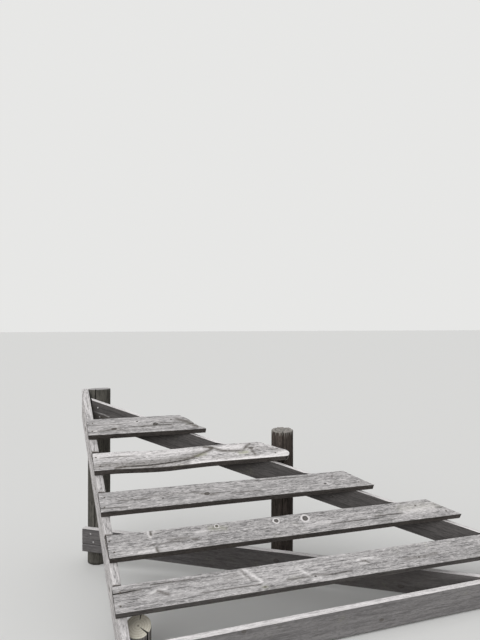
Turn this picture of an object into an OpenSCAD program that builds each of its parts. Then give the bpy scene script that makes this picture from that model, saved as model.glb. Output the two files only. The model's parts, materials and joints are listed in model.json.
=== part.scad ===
// Fan-shaped wooden stile: five plank treads let into two notched stringers
// that spread from one round corner post down to a board on edge.
// X runs along the treads, Y back towards the corner post, Z up from the ground.
// The front board is turned a little, so its back face starts at Y = 0 on the left and leaves it.

/* [Planks] */
// Thickness of the treads, the front board and the tie plank
plank_t = 38; // [32:1:46]
// Thickness of both stringers
stringer_t = 42; // [38:1:46]
// Width of the other sawn planks, which is their depth where they stand on edge
plank_w = 140; // [120:1:160]
// Width of the low tie plank
tie_w = 152; // [140:1:160]
// Chamfer worn along the long edges of the treads
edge_wear = 2.5; // [1:0.5:5]

/* [Slope and plan] */
// Pitch of the plane in which the top edges of both stringers lie
deck_pitch = 43; // [38:0.5:48]
// Height of that plane above the ground at the left end of the front board
foot_z = 147; // [140:1:170]
// Angle in plan by which the left stringer leans away from square to the treads
left_skew = 12.5; // [8:0.5:16]
// Angle in plan between the treads and the right stringer
right_turn = 19.8; // [18:0.1:22]
// Length along Y = 0 from the left stringer's outer face to the right stringer's near face
foot_span = 2718; // [2500:1:2900]
// Angle in plan between the front board and the treads
board_turn = 1.3; // [0:0.1:2]

/* [Treads] */
// Distance from one tread to the next, up the slope
tread_pitch = 250; // [225:1:270]
// Distance up the slope from Y = 0 to the front of the lowest tread
first_tread = 123; // [100:1:140]
// Sag of the second tread, halfway between its seats
tread_sag = 12; // [0:1:20]
// Angle between a tread and the slope, which sets how deep its notch is at the back
notch_angle = 16; // [14:0.5:18]
// Space between the back edge of a tread and the back wall of its notch
notch_gap = 7; // [2:1:12]
// Length by which a tread's back corner passes the left stringer's outer face
left_over = 2; // [0:1:12]
// Length by which the left end is cut back from the rear corner to the front corner
left_cut = 18; // [5:1:25]
// Length by which the treads' rear corners pass the right stringer's far face
right_over = 166; // [140:1:180]
// Length by which the right end runs on from the rear corner to the front corner
right_cut = 160; // [130:5:180]
// Radius of the worn front corner of the second tread
worn_corner = 31; // [20:1:34]

/* [Stringers and boards] */
// Distance in plan from the top end of the left stringer to the middle of the corner post
left_end_back = 36; // [25:1:60]
// Space between the end of the right stringer and the left stringer
right_end_gap = 10; // [5:1:20]
// Height of the front board's lower edge above the ground
board_lift = 11; // [5:1:20]
// Length by which the front board passes the left stringer's outer face
board_left_over = 14; // [0:1:30]
// Length by which the front board passes the right stringer's far face
board_right_over = 15; // [0:1:40]
// Place along X at which the low tie plank meets the front board
tie_foot_x = 2035; // [1950:1:2100]
// Height of the tie plank's lower edge above the ground at the corner post
tie_z_post = 104; // [90:1:130]
// Height of the tie plank's lower edge above the ground at the front board
tie_z_board = 5; // [0:1:30]
// Length of the tie plank that runs on past its touch on the corner post
tie_over = 66; // [40:1:75]

/* [Posts] */
// Diameter of the corner post and of the middle post
post_d = 150; // [130:2:170]
// Diameter of the two short posts at the stringers' feet
foot_post_d = 130; // [110:2:140]
// Height by which the corner post's top lies under the left stringer's top end
corner_drop = 9; // [0:1:20]
// Slope of the corner post's worn top, falling away to the back
corner_top_slope = 5; // [0:1:12]
// Height of the middle post
mid_post_h = 914; // [880:1:950]
// Distance along X from the second tread's rear right corner to the middle of the middle post
mid_post_in = 172; // [160:1:185]
// Height of the short posts at their middles
foot_post_h = 146; // [130:1:155]
// Slope of the short posts' sawn tops, falling to the front
foot_post_slope = 17; // [10:1:20]
// Distance of the left short post's middle behind the front board
left_post_y = 145; // [135:1:155]
// Distance along X from the right stringer's foot back to the middle of its short post
right_post_in = 218; // [190:1:240]
// Chamfer worn round the posts' tops
post_wear = 5; // [2:1:8]

/* [Hidden] */

$fn = 64;
TREADS = 5;
POST_R = post_d / 2;
FOOT_R = foot_post_d / 2;
// Reach of the blocks that trim ends and notches
FAR = 4000;
// Height of a notch block above its seat, and its run out past the front
NOTCH_H = plank_w;
NOTCH_FRONT = plank_t;

// Unevenness of the treads, top tread first: place up the slope, extra length at the left end,
// extra overhang and extra cut at the right end, extra tilt, width and space behind
SLIP = [-4, 2, 0, 4, 0];
LEFT_MORE = [-1, -5, -5, -12, 0];
END_MORE = [-20, 9, 12, 7, 7];
CUT_MORE = [0, 112, -5, 10, 0];
TILT_MORE = [5, 2, 0, 0, 0];
WIDE_MORE = [0, 4, 0, 0, 0];
GAP_MORE = [0, 9, 0, 0, 0];
// The top tread's end has split: share of the width from the front, and length gained or lost
SPLIT_TREAD = 1;
SPLITS = [[0.10, 4], [0.20, -12], [0.28, -9], [0.40, 5], [0.50, 11], [0.62, 4], [0.74, 9], [0.90, 2]];
// The tread whose front right corner is worn round, and the arc's steps
WORN_TREAD = 2;
ARC_STEPS = 9;
// The tread that sags, and the steps of its bend
SAG_TREAD = 2;
SAG_STEPS = 12;

// Places in plan of the stringers' faces
function left_x(y) = -y * tan(left_skew);
function right_x(y) = foot_span - y / tan(right_turn);
// Width along X that each stringer takes up
LEFT_T_X = stringer_t / cos(left_skew);
RIGHT_T_X = stringer_t / sin(right_turn);
// Pitch of each stringer along its own length
LEFT_PITCH = atan(tan(deck_pitch) * cos(left_skew));
RIGHT_PITCH = atan(tan(deck_pitch) * sin(right_turn));

// The corner post touches the left stringer's inner face and the right stringer's far face
CORNER_OFF = stringer_t + POST_R;
CORNER_Y = (CORNER_OFF + (foot_span - CORNER_OFF / cos(left_skew)) * sin(right_turn))
    / (cos(right_turn) - tan(left_skew) * sin(right_turn));
CORNER_X = CORNER_OFF / cos(left_skew) + left_x(CORNER_Y);
// The right short post touches the right stringer's far face, the left one the left's inner face
RIGHT_POST_Y = (stringer_t + FOOT_R + right_post_in * sin(right_turn)) / cos(right_turn);
LEFT_POST_X = (stringer_t + FOOT_R) / cos(left_skew) + left_x(left_post_y);
// The left stringer's top end, and the height of the corner post beside it
LEFT_TOP_Y = CORNER_Y - left_end_back;
CORNER_H = foot_z + LEFT_TOP_Y * tan(deck_pitch) - corner_drop;

// Distance up the slope of a tread's front lower edge, top tread first
function tread_s(i) = first_tread + (TREADS - i) * tread_pitch + SLIP[i - 1];
// Tilt and width of a tread, place in plan of its back lower edge, and of its rear corners along X
function tilt(i) = deck_pitch - notch_angle + TILT_MORE[i - 1];
function wide(i) = plank_w + WIDE_MORE[i - 1];
function back_y(i) = tread_s(i) * cos(deck_pitch) + wide(i) * cos(tilt(i));
function rear_l(i) = left_x(back_y(i)) - left_over - LEFT_MORE[i - 1];
function rear_r(i) = right_x(back_y(i)) + RIGHT_T_X + right_over + END_MORE[i - 1];
// The middle post stands against the right end of the worn tread, whose cut runs at this angle
END_TURN = atan(wide(WORN_TREAD) * cos(tilt(WORN_TREAD)) / (right_cut + CUT_MORE[WORN_TREAD - 1]));
MID_X = rear_r(WORN_TREAD) + mid_post_in;
MID_Y = back_y(WORN_TREAD) + (POST_R - mid_post_in * sin(END_TURN)) / cos(END_TURN);

// The tie plank's near face, from the front board to its touch on the corner post
TIE_OFF = plank_t + POST_R;
TIE_FOOT_Y = tie_foot_x * tan(board_turn);
TIE_DX = tie_foot_x - CORNER_X;
TIE_DY = CORNER_Y - TIE_FOOT_Y;
TIE_REACH = sqrt(pow(TIE_DX, 2) + pow(TIE_DY, 2));
TIE_TURN = atan(TIE_DY / TIE_DX) - asin(TIE_OFF / TIE_REACH);
TIE_RUN = sqrt(pow(TIE_REACH, 2) - pow(TIE_OFF, 2));
TIE_PITCH = atan((tie_z_post - tie_z_board) / TIE_RUN);

// Ends of the front board along its own length
BOARD_L = -board_left_over;
BOARD_R = (foot_span * sin(right_turn) + stringer_t) / sin(right_turn + board_turn) + board_right_over;
// Middle of the whole stile in plan
MIDDLE_X = (left_x(LEFT_TOP_Y) + BOARD_R * cos(board_turn) + plank_t * sin(board_turn)) / 2;
MIDDLE_Y = (CORNER_Y + POST_R + BOARD_L * sin(board_turn) - plank_t * cos(board_turn)) / 2;

WEATHERED = [0.62, 0.61, 0.59];
SHADED = [0.45, 0.43, 0.41];
POST_GREY = [0.38, 0.35, 0.32];
FRESH_CUT = [0.80, 0.76, 0.66];

// Moves the stile's corner frame to the middle of its footprint
module placed() {
    translate([-MIDDLE_X, -MIDDLE_Y, 0])
        children();
}

// Frame of tread i: X along it, Y across it to the back, Z up square to its face
module on_tread(i) {
    translate([0, tread_s(i) * cos(deck_pitch), foot_z + tread_s(i) * sin(deck_pitch)])
        rotate([tilt(i), 0, 0])
            children();
}

// Round post with a worn top edge
module post(d, h) {
    rotate_extrude()
        polygon([[0, 0], [d / 2, 0], [d / 2, h - post_wear], [d / 2 - post_wear, h], [0, h]]);
}

// Cuts away what lies above a sloping plane through the post's top
module sloped_top(h, slope, d) {
    difference() {
        children();
        translate([0, 0, h])
            rotate([slope, 0, 0])
                translate([-d, -d, 0])
                    cube([2 * d, 2 * d, d]);
    }
}

// Plank on edge that runs up along +Y, top edge through the frame's origin
module plank_on_edge(run, pitch, thickness, width = plank_w) {
    drop = width / cos(pitch);
    rotate([90, 0, 90])
        linear_extrude(thickness)
            polygon([
                [-plank_w, -plank_w * tan(pitch)],
                [run, run * tan(pitch)],
                [run, run * tan(pitch) - drop],
                [-plank_w, -plank_w * tan(pitch) - drop]
            ]);
}

// Open notches for all the treads, cut along X through a stringer
module notches() {
    for (i = [1 : TREADS])
        on_tread(i)
            translate([-FAR / 2, -NOTCH_FRONT, 0])
                cube([2 * FAR, NOTCH_FRONT + wide(i) + notch_gap + GAP_MORE[i - 1], NOTCH_H]);
}

// Trims a piece to the space behind the front board and above the ground
module behind_board() {
    intersection() {
        children();
        rotate([0, 0, board_turn])
            translate([-FAR / 2, 0, 0])
                cube([2 * FAR, FAR, FAR]);
    }
}

module corner_post() {
    color(POST_GREY)
        placed()
            translate([CORNER_X, CORNER_Y, 0])
                sloped_top(CORNER_H, -corner_top_slope, post_d)
                    post(post_d, CORNER_H + POST_R * tan(corner_top_slope));
}

module mid_post() {
    color(POST_GREY)
        placed()
            translate([MID_X, MID_Y, 0])
                post(post_d, mid_post_h);
}

module foot_post() {
    sloped_top(foot_post_h, foot_post_slope, foot_post_d)
        cylinder(d = foot_post_d, h = foot_post_h + FOOT_R);
}

module left_foot_post() {
    color(FRESH_CUT)
        placed()
            translate([LEFT_POST_X, left_post_y, 0])
                foot_post();
}

module right_foot_post() {
    color(FRESH_CUT)
        placed()
            translate([foot_span - right_post_in, RIGHT_POST_Y, 0])
                foot_post();
}

// Runs up from the board to the left side of the corner post, its end cut plumb
module left_stringer() {
    color(WEATHERED)
        placed()
            difference() {
                behind_board()
                    translate([0, 0, foot_z])
                        rotate([0, 0, left_skew])
                            plank_on_edge(LEFT_TOP_Y / cos(left_skew), LEFT_PITCH, stringer_t);
                notches();
            }
}

// Runs up from the board to the front of the corner post, close to the left stringer
module right_stringer() {
    end_x = LEFT_T_X + right_end_gap / cos(left_skew);
    color(SHADED)
        placed()
            difference() {
                behind_board()
                    translate([foot_span, 0, foot_z])
                        rotate([0, 0, 90 - right_turn])
                            plank_on_edge(FAR, RIGHT_PITCH, stringer_t);
                notches();
                translate([end_x, 0, 0])
                    rotate([0, 0, left_skew])
                        translate([-FAR, -FAR / 2, 0])
                            cube([FAR, 2 * FAR, FAR]);
            }
}

// Low plank on edge from the front board back to the corner post, which it passes
module tie_plank() {
    color(SHADED)
        placed()
            behind_board()
                translate([tie_foot_x, TIE_FOOT_Y, tie_z_board + tie_w / cos(TIE_PITCH)])
                    rotate([0, 0, 90 - TIE_TURN])
                        plank_on_edge(TIE_RUN + tie_over, TIE_PITCH, plank_t, tie_w);
}

// Board on edge across the feet of both stringers
module front_board() {
    color(WEATHERED)
        placed()
            rotate([0, 0, board_turn])
                translate([BOARD_L, -plank_t, board_lift])
                    cube([BOARD_R - BOARD_L, plank_t, plank_w]);
}

// Section of tread i across its width, its upper edges worn off
function section(i) = [
    [0, 0], [wide(i), 0],
    [wide(i), plank_t - edge_wear], [wide(i) - edge_wear, plank_t],
    [edge_wear, plank_t], [0, plank_t - edge_wear]
];

// Straight plank, long enough to be trimmed at both ends
module straight_plank(i) {
    translate([-FAR / 2, 0, 0])
        rotate([90, 0, 90])
            linear_extrude(2 * FAR)
                polygon(section(i));
}

// The same plank sagging in a smooth bow between two places along X, straight outside them
module sagging_plank(i, x_0, x_1) {
    corners = section(i);
    sides = len(corners);
    stations = concat(
        [[-FAR / 2, 0]],
        [
            for (k = [0 : SAG_STEPS])
                [x_0 + (x_1 - x_0) * k / SAG_STEPS, tread_sag * (1 - cos(360 * k / SAG_STEPS)) / 2]
        ],
        [[FAR, 0]]
    );
    last = len(stations) - 1;
    polyhedron(
        points = [for (here = stations, p = corners) [here[0], p[0], p[1] - here[1]]],
        faces = concat(
            [[for (n = [0 : sides - 1]) n]],
            [
                for (k = [0 : last - 1], n = [0 : sides - 1])
                    [
                        k * sides + n, (k + 1) * sides + n,
                        (k + 1) * sides + (n + 1) % sides, k * sides + (n + 1) % sides
                    ]
            ],
            [[for (n = [0 : sides - 1]) (last + 1) * sides - 1 - n]]
        )
    );
}

// Right end of a tread whose front corner is worn round: tangent arc between edge and end cut
function worn_end(front_r, rear_r, width) =
    let (
        turn = atan2(width, front_r - rear_r),
        reach = worn_corner / tan(turn / 2),
        mid = [front_r - reach, worn_corner]
    )
    concat(
        [for (k = [0 : ARC_STEPS])
            mid + worn_corner * [sin(k / ARC_STEPS * (180 - turn)), -cos(k / ARC_STEPS * (180 - turn))]],
        [[rear_r, width]]
    );

// Right end of a tread that has split along the grain into short points
function split_end(front_r, rear_r, width) =
    concat(
        [[front_r, 0]],
        [for (p = SPLITS) [front_r + (rear_r - front_r) * p[0] + p[1], width * p[0]]],
        [[rear_r, width]]
    );

// Outline of tread i seen square to its face
module tread_outline(i) {
    end_l = rear_l(i);
    end_r = rear_r(i);
    front_r = end_r + right_cut + CUT_MORE[i - 1];
    right_end = i == SPLIT_TREAD ? split_end(front_r, end_r, wide(i))
        : i == WORN_TREAD ? worn_end(front_r, end_r, wide(i))
        : [[front_r, 0], [end_r, wide(i)]];
    polygon(concat([[end_l, wide(i)], [end_l + left_cut, 0]], right_end));
}

// Plank of tread i before its ends are cut; a sagging one is straight over its seats
module tread_plank(i) {
    if (i == SAG_TREAD)
        sagging_plank(i, left_x(back_y(i)) + 2 * LEFT_T_X, right_x(back_y(i)));
    else
        straight_plank(i);
}

module tread(i) {
    color(WEATHERED)
        placed()
            on_tread(i)
                intersection() {
                    tread_plank(i);
                    linear_extrude(3 * plank_t, center = true)
                        tread_outline(i);
                }
}

module tread_1() { tread(1); }
module tread_2() { tread(2); }
module tread_3() { tread(3); }
module tread_4() { tread(4); }
module tread_5() { tread(5); }

corner_post();
mid_post();
left_foot_post();
right_foot_post();
left_stringer();
right_stringer();
tie_plank();
front_board();
tread_1();
tread_2();
tread_3();
tread_4();
tread_5();
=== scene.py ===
# %% [markdown]
# # A weathered wooden stile
# This lesson dresses the solid model of a low plank stile. The model gives every board, post and
# tread its place and size. What is made here is the old wood: worn edges, split ends, knots,
# drying cracks and nails, and the silver grey that years of rain and sun leave on bare timber.

# %% Load the solid model
import json
import math
import bmesh
import bpy
import numpy as np
from mathutils import Matrix, Vector

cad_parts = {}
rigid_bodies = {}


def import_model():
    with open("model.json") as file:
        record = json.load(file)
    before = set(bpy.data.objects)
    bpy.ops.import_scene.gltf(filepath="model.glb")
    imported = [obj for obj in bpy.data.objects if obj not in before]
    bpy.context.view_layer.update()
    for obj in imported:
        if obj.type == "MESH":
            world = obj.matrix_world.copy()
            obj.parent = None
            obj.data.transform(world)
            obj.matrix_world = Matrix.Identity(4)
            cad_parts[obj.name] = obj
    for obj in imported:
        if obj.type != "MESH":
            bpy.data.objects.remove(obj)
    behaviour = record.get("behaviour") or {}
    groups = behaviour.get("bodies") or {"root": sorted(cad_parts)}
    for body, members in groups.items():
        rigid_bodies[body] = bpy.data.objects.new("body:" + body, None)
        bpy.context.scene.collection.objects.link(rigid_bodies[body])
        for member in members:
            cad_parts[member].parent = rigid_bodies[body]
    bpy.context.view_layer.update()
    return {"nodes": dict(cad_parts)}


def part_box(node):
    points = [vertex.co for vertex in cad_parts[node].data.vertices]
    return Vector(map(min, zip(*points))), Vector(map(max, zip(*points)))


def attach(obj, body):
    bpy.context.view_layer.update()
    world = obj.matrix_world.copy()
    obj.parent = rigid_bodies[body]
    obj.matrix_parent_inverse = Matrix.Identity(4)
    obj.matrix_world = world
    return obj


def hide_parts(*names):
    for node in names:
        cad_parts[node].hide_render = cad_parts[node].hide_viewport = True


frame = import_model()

# %% [markdown]
# ## Camera
# The camera stands where the picture was taken, found by fitting the corners of the treads. It is
# tied to the corner post, so it keeps its view of the stile when the model's origin moves. Its three
# directions come first, because the places of knots and cracks are read with them too.

# %% Where the camera stands and looks
CAMERA_FROM_POST = (0.0912, -3.3482)
CAMERA_HEIGHT = 1.657
CAMERA_YAW = math.radians(15.23)
CAMERA_PITCH = math.radians(-0.08)
CAMERA_ROLL = math.radians(0.15)

post_low, post_high = (np.array(corner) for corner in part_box("corner_post"))
post_middle = (post_low + post_high) / 2
eye = np.array([post_middle[0] + CAMERA_FROM_POST[0], post_middle[1] + CAMERA_FROM_POST[1], CAMERA_HEIGHT])
look = np.array([math.sin(CAMERA_YAW) * math.cos(CAMERA_PITCH),
                 math.cos(CAMERA_YAW) * math.cos(CAMERA_PITCH), math.sin(CAMERA_PITCH)])
level_right = np.array([math.cos(CAMERA_YAW), -math.sin(CAMERA_YAW), 0.0])
level_up = np.cross(level_right, look)
view_right = level_right * math.cos(CAMERA_ROLL) + level_up * math.sin(CAMERA_ROLL)
view_up = np.cross(view_right, look)
print("the eye is at", np.round(eye, 3), "and looks along", np.round(look, 3))

# %% Camera
IMAGE_W, IMAGE_H = 480, 640
FOCAL_PIXELS = 465.6
SENSOR = 36.0

camera_data = bpy.data.cameras.new("camera")
camera_data.sensor_width = SENSOR
camera_data.lens = FOCAL_PIXELS * SENSOR / IMAGE_H
camera = bpy.data.objects.new("camera", camera_data)
bpy.context.scene.collection.objects.link(camera)
turn = Matrix([view_right, view_up, -look]).transposed().to_4x4()
camera.matrix_world = Matrix.Translation(Vector(eye)) @ turn
bpy.context.scene.camera = camera
print("the lens is", round(camera_data.lens, 2), "mm on a sensor of", SENSOR, "mm")

# %% [markdown]
# ## From a pixel to a place
# A knot or a crack is easy to point at in the picture and hard to measure on the board. A pixel is a
# ray from the eye, and the ray meets the plane of the board's face at one place, so the marks below
# can be given by the pixels where they show.

# %% Places by pixel
def seen_at(u, v, point, normal):
    """The place on a plane that shows at pixel u, v."""
    ray = look + view_right * (u - IMAGE_W / 2) / FOCAL_PIXELS - view_up * (v - IMAGE_H / 2) / FOCAL_PIXELS
    reach = np.dot(np.asarray(point) - eye, normal) / np.dot(ray, normal)
    return eye + ray * reach


nearest_floor = seen_at(IMAGE_W / 2, IMAGE_H, (0, 0, 0), (0, 0, 1))
print("the picture's lower edge shows the floor at", np.round(nearest_floor, 2))

# %% [markdown]
# ## Noise for shapes
# Weathering is uneven, but it has to come out the same on every run. This is plain value noise: a
# hash gives each cell corner of a grid a height, and the heights are blended smoothly between them.

# %% Value noise
HASH_STEPS = np.array([374761393, 668265263, 982451653])
HASH_SEED_STEP = 362437
HASH_MIX = 1274126177


def eased(share):
    """A share from 0 to 1 that starts and stops gently."""
    return share * share * (3 - 2 * share)


def value_noise(places, seed):
    """Smooth noise between -1 and 1 at each row of places."""
    cell = np.floor(places).astype(np.int64)
    share = eased(places - cell)
    total = np.zeros(len(places))
    for corner in range(8):
        step = np.array([corner & 1, corner >> 1 & 1, corner >> 2 & 1])
        key = (cell + step) @ HASH_STEPS + seed * HASH_SEED_STEP
        key = ((key ^ (key >> 13)) * HASH_MIX) & 0xFFFFFFFF
        height = ((key ^ (key >> 16)) & 0xFFFF) / 32767.5 - 1
        total += height * np.prod(np.where(step == 1, share, 1 - share), axis=1)
    return total


print("noise check:", np.round(value_noise(np.array([[0.5, 0.5, 0.5], [3.2, 1.1, 0.4]]), 7), 3))

# %% Short words for noise and steps
def noise_at(seed, x, y=0.0, z=0.0):
    """Value noise at places given as separate lists of numbers."""
    return value_noise(np.stack(np.broadcast_arrays(x, y, z), axis=1), seed)


def smooth_between(value, low, high):
    """0 below low, 1 above high, and a smooth rise between."""
    return eased(np.clip((value - low) / (high - low), 0, 1))


print("a smooth step at its quarters:", smooth_between(np.linspace(0, 1, 5), 0, 1))

# %% [markdown]
# ## Reading a plank's own directions
# Every plank in the model is a plain sawn board that lies at its own slant. Its grain runs along
# its longest edge, and its broad faces give the second direction. Working in these three
# directions, along, across and through the board, makes all planks alike.

# %% Corners, edges and faces of a solid
SAME_PLACE = 1e-5
SHARP_EDGE = math.radians(12)


def joined_solid(node):
    """A copy of a model node's mesh with its loose triangles joined."""
    shape = bmesh.new()
    shape.from_mesh(frame["nodes"][node].data)
    bmesh.ops.remove_doubles(shape, verts=shape.verts, dist=SAME_PLACE)
    return shape


def solid_shape(node):
    """Corners, sharp edges and faces of a model node."""
    shape = joined_solid(node)
    corners = np.array([v.co[:] for v in shape.verts])
    edges = [(e.verts[0].co.copy(), e.verts[1].co.copy()) for e in shape.edges
             if len(e.link_faces) == 2 and e.calc_face_angle(0) > SHARP_EDGE]
    faces = [(np.array(f.normal), f.calc_area()) for f in shape.faces]
    shape.free()
    return corners, edges, faces


print("tread_1 has", " and ".join(f"{len(part)} {word}" for part, word in zip(
    solid_shape("tread_1"), ("corners", "sharp edges", "triangles"))))

# %% Grain and broad face
def grain_direction(edges, hint):
    """Direction of the longest edge, pointing the way of the hint."""
    longest = max(edges, key=lambda edge: (edge[0] - edge[1]).length)
    along = np.array((longest[0] - longest[1]).normalized())
    return along * np.sign(along @ np.array(hint))


def face_direction(faces, along, hint):
    """Direction of the largest flat side that lies along the grain and looks the way of the hint."""
    sides = {}
    for normal, area in faces:
        if np.dot(normal, hint) > 0.3 and abs(np.dot(normal, along)) < 1e-3:
            key = tuple(np.round(normal, 2))
            sides[key] = sides.get(key, 0) + area * normal
    side = max(sides.values(), key=np.linalg.norm)
    side = side - along * (side @ along)
    return side / np.linalg.norm(side)


_, tread_edges, tread_faces = solid_shape("tread_1")
tread_along = grain_direction(tread_edges, (1, 0, 0))
print("tread_1 runs along", np.round(tread_along, 3),
      "and faces", np.round(face_direction(tread_faces, tread_along, (0, 0, 1)), 3))

# %% Planks
LEFT_END = 0.05
SAG_STEPS = 3


class Plank:
    """A sawn board of the model, with its own directions and its own measure."""

    def __init__(self, node, along_hint, face_hint):
        corners, edges, faces = solid_shape(node)
        self.node = node
        self.along = grain_direction(edges, along_hint)
        self.face = face_direction(faces, self.along, face_hint)
        self.axes = np.stack([self.along, np.cross(self.face, self.along), self.face])
        own = corners @ self.axes.T
        left = own[own[:, 0] < own[:, 0].min() + LEFT_END]
        self.start = np.array([own[:, 0].min(), own[:, 1].min(), left[:, 2].min()])
        self.own = own - self.start
        self.length, self.width = self.own[:, 0].max(), self.own[:, 1].max()
        self.thick = self.own[self.own[:, 0] < LEFT_END][:, 2].max()
        self.bow = ([0.0], [0.0])

    def to_own(self, places):
        return np.asarray(places) @ self.axes.T - self.start

    def to_world(self, own):
        return (np.asarray(own) + self.start) @ self.axes

    def hang(self, along):
        """How far the board hangs below its straight line, as a number below 0."""
        return np.interp(along, *self.bow)

    def mark(self, u, v):
        """Own place, along and across, of what shows on the broad face at a pixel."""
        drop = 0.0
        for _ in range(SAG_STEPS):
            own = self.to_own(seen_at(u, v, self.to_world([0, 0, self.thick + drop]), self.face))
            drop = self.hang(own[0])
        return own[:2]


planks = {f"tread_{i}": Plank(f"tread_{i}", (1, 0, 0), (0, 0, 1)) for i in range(1, 6)}
planks["front_board"] = Plank("front_board", (1, 0, 0), (0, -1, 0))
planks["tie_plank"] = Plank("tie_plank", (1, 0, 0), (0, -1, 0))
planks["left_stringer"] = Plank("left_stringer", (0, 1, 0), (1, 0, 0))
planks["right_stringer"] = Plank("right_stringer", (1, 0, 0), (0, -1, 0))
for name, plank in planks.items():
    size = f"{plank.length:.3f} x {plank.width:.3f} x {plank.thick:.3f} m"
    print(f"{name}: {size}, along {np.round(plank.along, 3)}")

# %% [markdown]
# ## Where each tread ends
# The ends are not square: they are cut on the slant of the stringers, one is worn round and one is
# split. The model's own corners give the outline, so the dressed tread ends just where the solid
# does. The second tread also sags, and its lower corners give the bow.

# %% Outlines of the ends
ON_EDGE = 1e-3
PLAIN_BLOCK = 8


def back_length(plank):
    """How far along the back edge of a board runs."""
    return plank.own[plank.own[:, 1] > plank.width - ON_EDGE][:, 0].max()


def end_line(plank, side):
    """Two lists, low and high side of the board: how far along it ends, by place across."""
    own = plank.own
    if side == "left":
        chosen = own[own[:, 0] < LEFT_END]
    elif len(own) <= PLAIN_BLOCK:
        chosen = own[np.argsort(own[:, 0])[-4:]]
    else:
        chosen = own[own[:, 0] > back_length(plank) - ON_EDGE]
    lines = []
    for half in (chosen[chosen[:, 2] < plank.thick / 2], chosen[chosen[:, 2] > plank.thick / 2]):
        order = np.argsort(half[:, 1])
        lines.append((half[order, 1], half[order, 0]))
    return lines


print("tread_2 ends on a line of", len(end_line(planks["tread_2"], "right")[1][0]), "corners")

# %% Where a board ends, and how it hangs
def end_at(lines, across, through, thick):
    """How far along a board ends, at a place across and through it."""
    low = np.interp(across, *lines[0])
    high = np.interp(across, *lines[1])
    return low + (high - low) * through / thick


def bow_line(plank):
    """How far the underside of a board hangs, by place along."""
    under = plank.own[(plank.own[:, 1] < ON_EDGE) & (plank.own[:, 2] < plank.thick / 2)]
    under = under[under[:, 0] < back_length(plank)]
    under = under[np.argsort(under[:, 0])]
    return under[:, 0], under[:, 2]


planks["tread_2"].bow = bow_line(planks["tread_2"])
print("tread_2 hangs", round(-planks["tread_2"].bow[1].min() * 1000, 1), "mm at the middle")

# %% [markdown]
# ## A skin of quads round a board
# A board is a block of points, and only its skin becomes mesh. The rows lie close together at the
# edges, where the wood is worn round, and wider apart on the faces. Building the block by hand gives
# every crack its own row of points, which a bevelled and subdivided box could not.

# %% Block skin
def block_skin(n_along, n_across, n_through):
    """Index of every skin point of a block, and the quads between them, facing outwards."""
    i, j, k = np.meshgrid(np.arange(n_along), np.arange(n_across), np.arange(n_through), indexing="ij")
    outer = ((i == 0) | (i == n_along - 1) | (j == 0) | (j == n_across - 1) | (k == 0) | (k == n_through - 1))
    index = np.full(i.shape, -1)
    index[outer] = np.arange(outer.sum())

    def sheet(grid, flip):
        a, b, c, d = grid[:-1, :-1], grid[1:, :-1], grid[1:, 1:], grid[:-1, 1:]
        quads = np.stack([a, b, c, d], axis=-1).reshape(-1, 4)
        return quads[:, ::-1] if flip else quads

    quads = np.concatenate([
        sheet(index[:, :, 0], True), sheet(index[:, :, -1], False),
        sheet(index[:, 0, :], False), sheet(index[:, -1, :], True),
        sheet(index[0], True), sheet(index[-1], False)])
    return i[outer], j[outer], k[outer], quads


skin = block_skin(4, 3, 3)
print("a block of 4 x 3 x 3 points has", len(skin[0]), "skin points and", len(skin[3]), "quads")

# %% Rows that crowd at the edges
STATION_STEP = 0.011
ROW_STEP = 0.0036
LAYER_STEP = 0.0058
EDGE_ROWS = np.array([0, 0.0008, 0.0018, 0.0032, 0.005])
CLOSEST_ROWS = 0.0006


def spaced(length, step, extra=()):
    """Places from 0 to length: close together at both ends, and at the extra places."""
    last = EDGE_ROWS[-1]
    middle = np.linspace(last, length - last, max(2, int((length - 2 * last) / step)))
    places = np.unique(np.concatenate([EDGE_ROWS, middle, length - EDGE_ROWS, np.clip(extra, 0, length)]))
    keep = np.concatenate([[True], np.diff(places) > CLOSEST_ROWS])
    keep[-1] = True
    return places[keep]


print("a face 140 mm wide gets", len(spaced(0.14, ROW_STEP)), "rows")

# %% [markdown]
# ## How weather shapes a board
# Rain washes out the soft spring wood and leaves the hard summer rings as fine ridges along the
# grain. Knots stand up, with the fibres flowing round them. Drying opens cracks that follow the
# grain, and boots round the edges. All of it is one field of heights, so the faces and the edges of
# one board belong together.

# %% Heights of weather
# waves in each metre along, across and through the board, and their share of the depth:
# broad swells, the ridges of the year rings, single fibres
WEATHER_WAVES = [((1.7, 15, 15), 0.8), ((3.5, 85, 85), 0.7), ((9, 150, 150), 0.45)]


def weather_height(own, seed, depth):
    """How far the skin stands out or in at places along, across and through a board."""
    return depth * sum(share * value_noise(own * waves, seed + n)
                       for n, (waves, share) in enumerate(WEATHER_WAVES))


sample = weather_height(np.linspace((0, 0, 0), (2, 0.14, 0.04), 500), 1, 0.0007) * 1000
print(f"weather of 0.7 mm stands from {sample.min():.2f} to {sample.max():.2f} mm")

# %% Knots
KNOT_REACH = 4.0
KNOT_LENGTH = 1.7
FLOW_ALONG, FLOW_ACROSS = 3.5, 2.2


def knot_marks(own, knots, drawn_out=KNOT_LENGTH):
    """Distance to the nearest knot in knot radii, and the grain pushed aside by all of them."""
    nearest = np.full(len(own), KNOT_REACH)
    pushed = own.copy()
    for along, across, radius in knots:
        away_along = own[:, 0] - along
        away_across = own[:, 1] - across
        nearest = np.minimum(nearest, np.hypot(away_along / drawn_out, away_across) / radius)
        near = np.exp(-(away_along / (radius * FLOW_ALONG)) ** 2 - (away_across / (radius * FLOW_ACROSS)) ** 2)
        pushed[:, 1] -= away_across * near * 0.75
        pushed[:, 2] += near * radius * 0.5
    return nearest, pushed


beside_knot, _ = knot_marks(np.array([[0.02, 0.0, 0.0]]), [(0.0, 0.0, 0.01)])
print("20 mm along from a knot of 10 mm:", np.round(beside_knot[0], 2), "knot radii")

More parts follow.
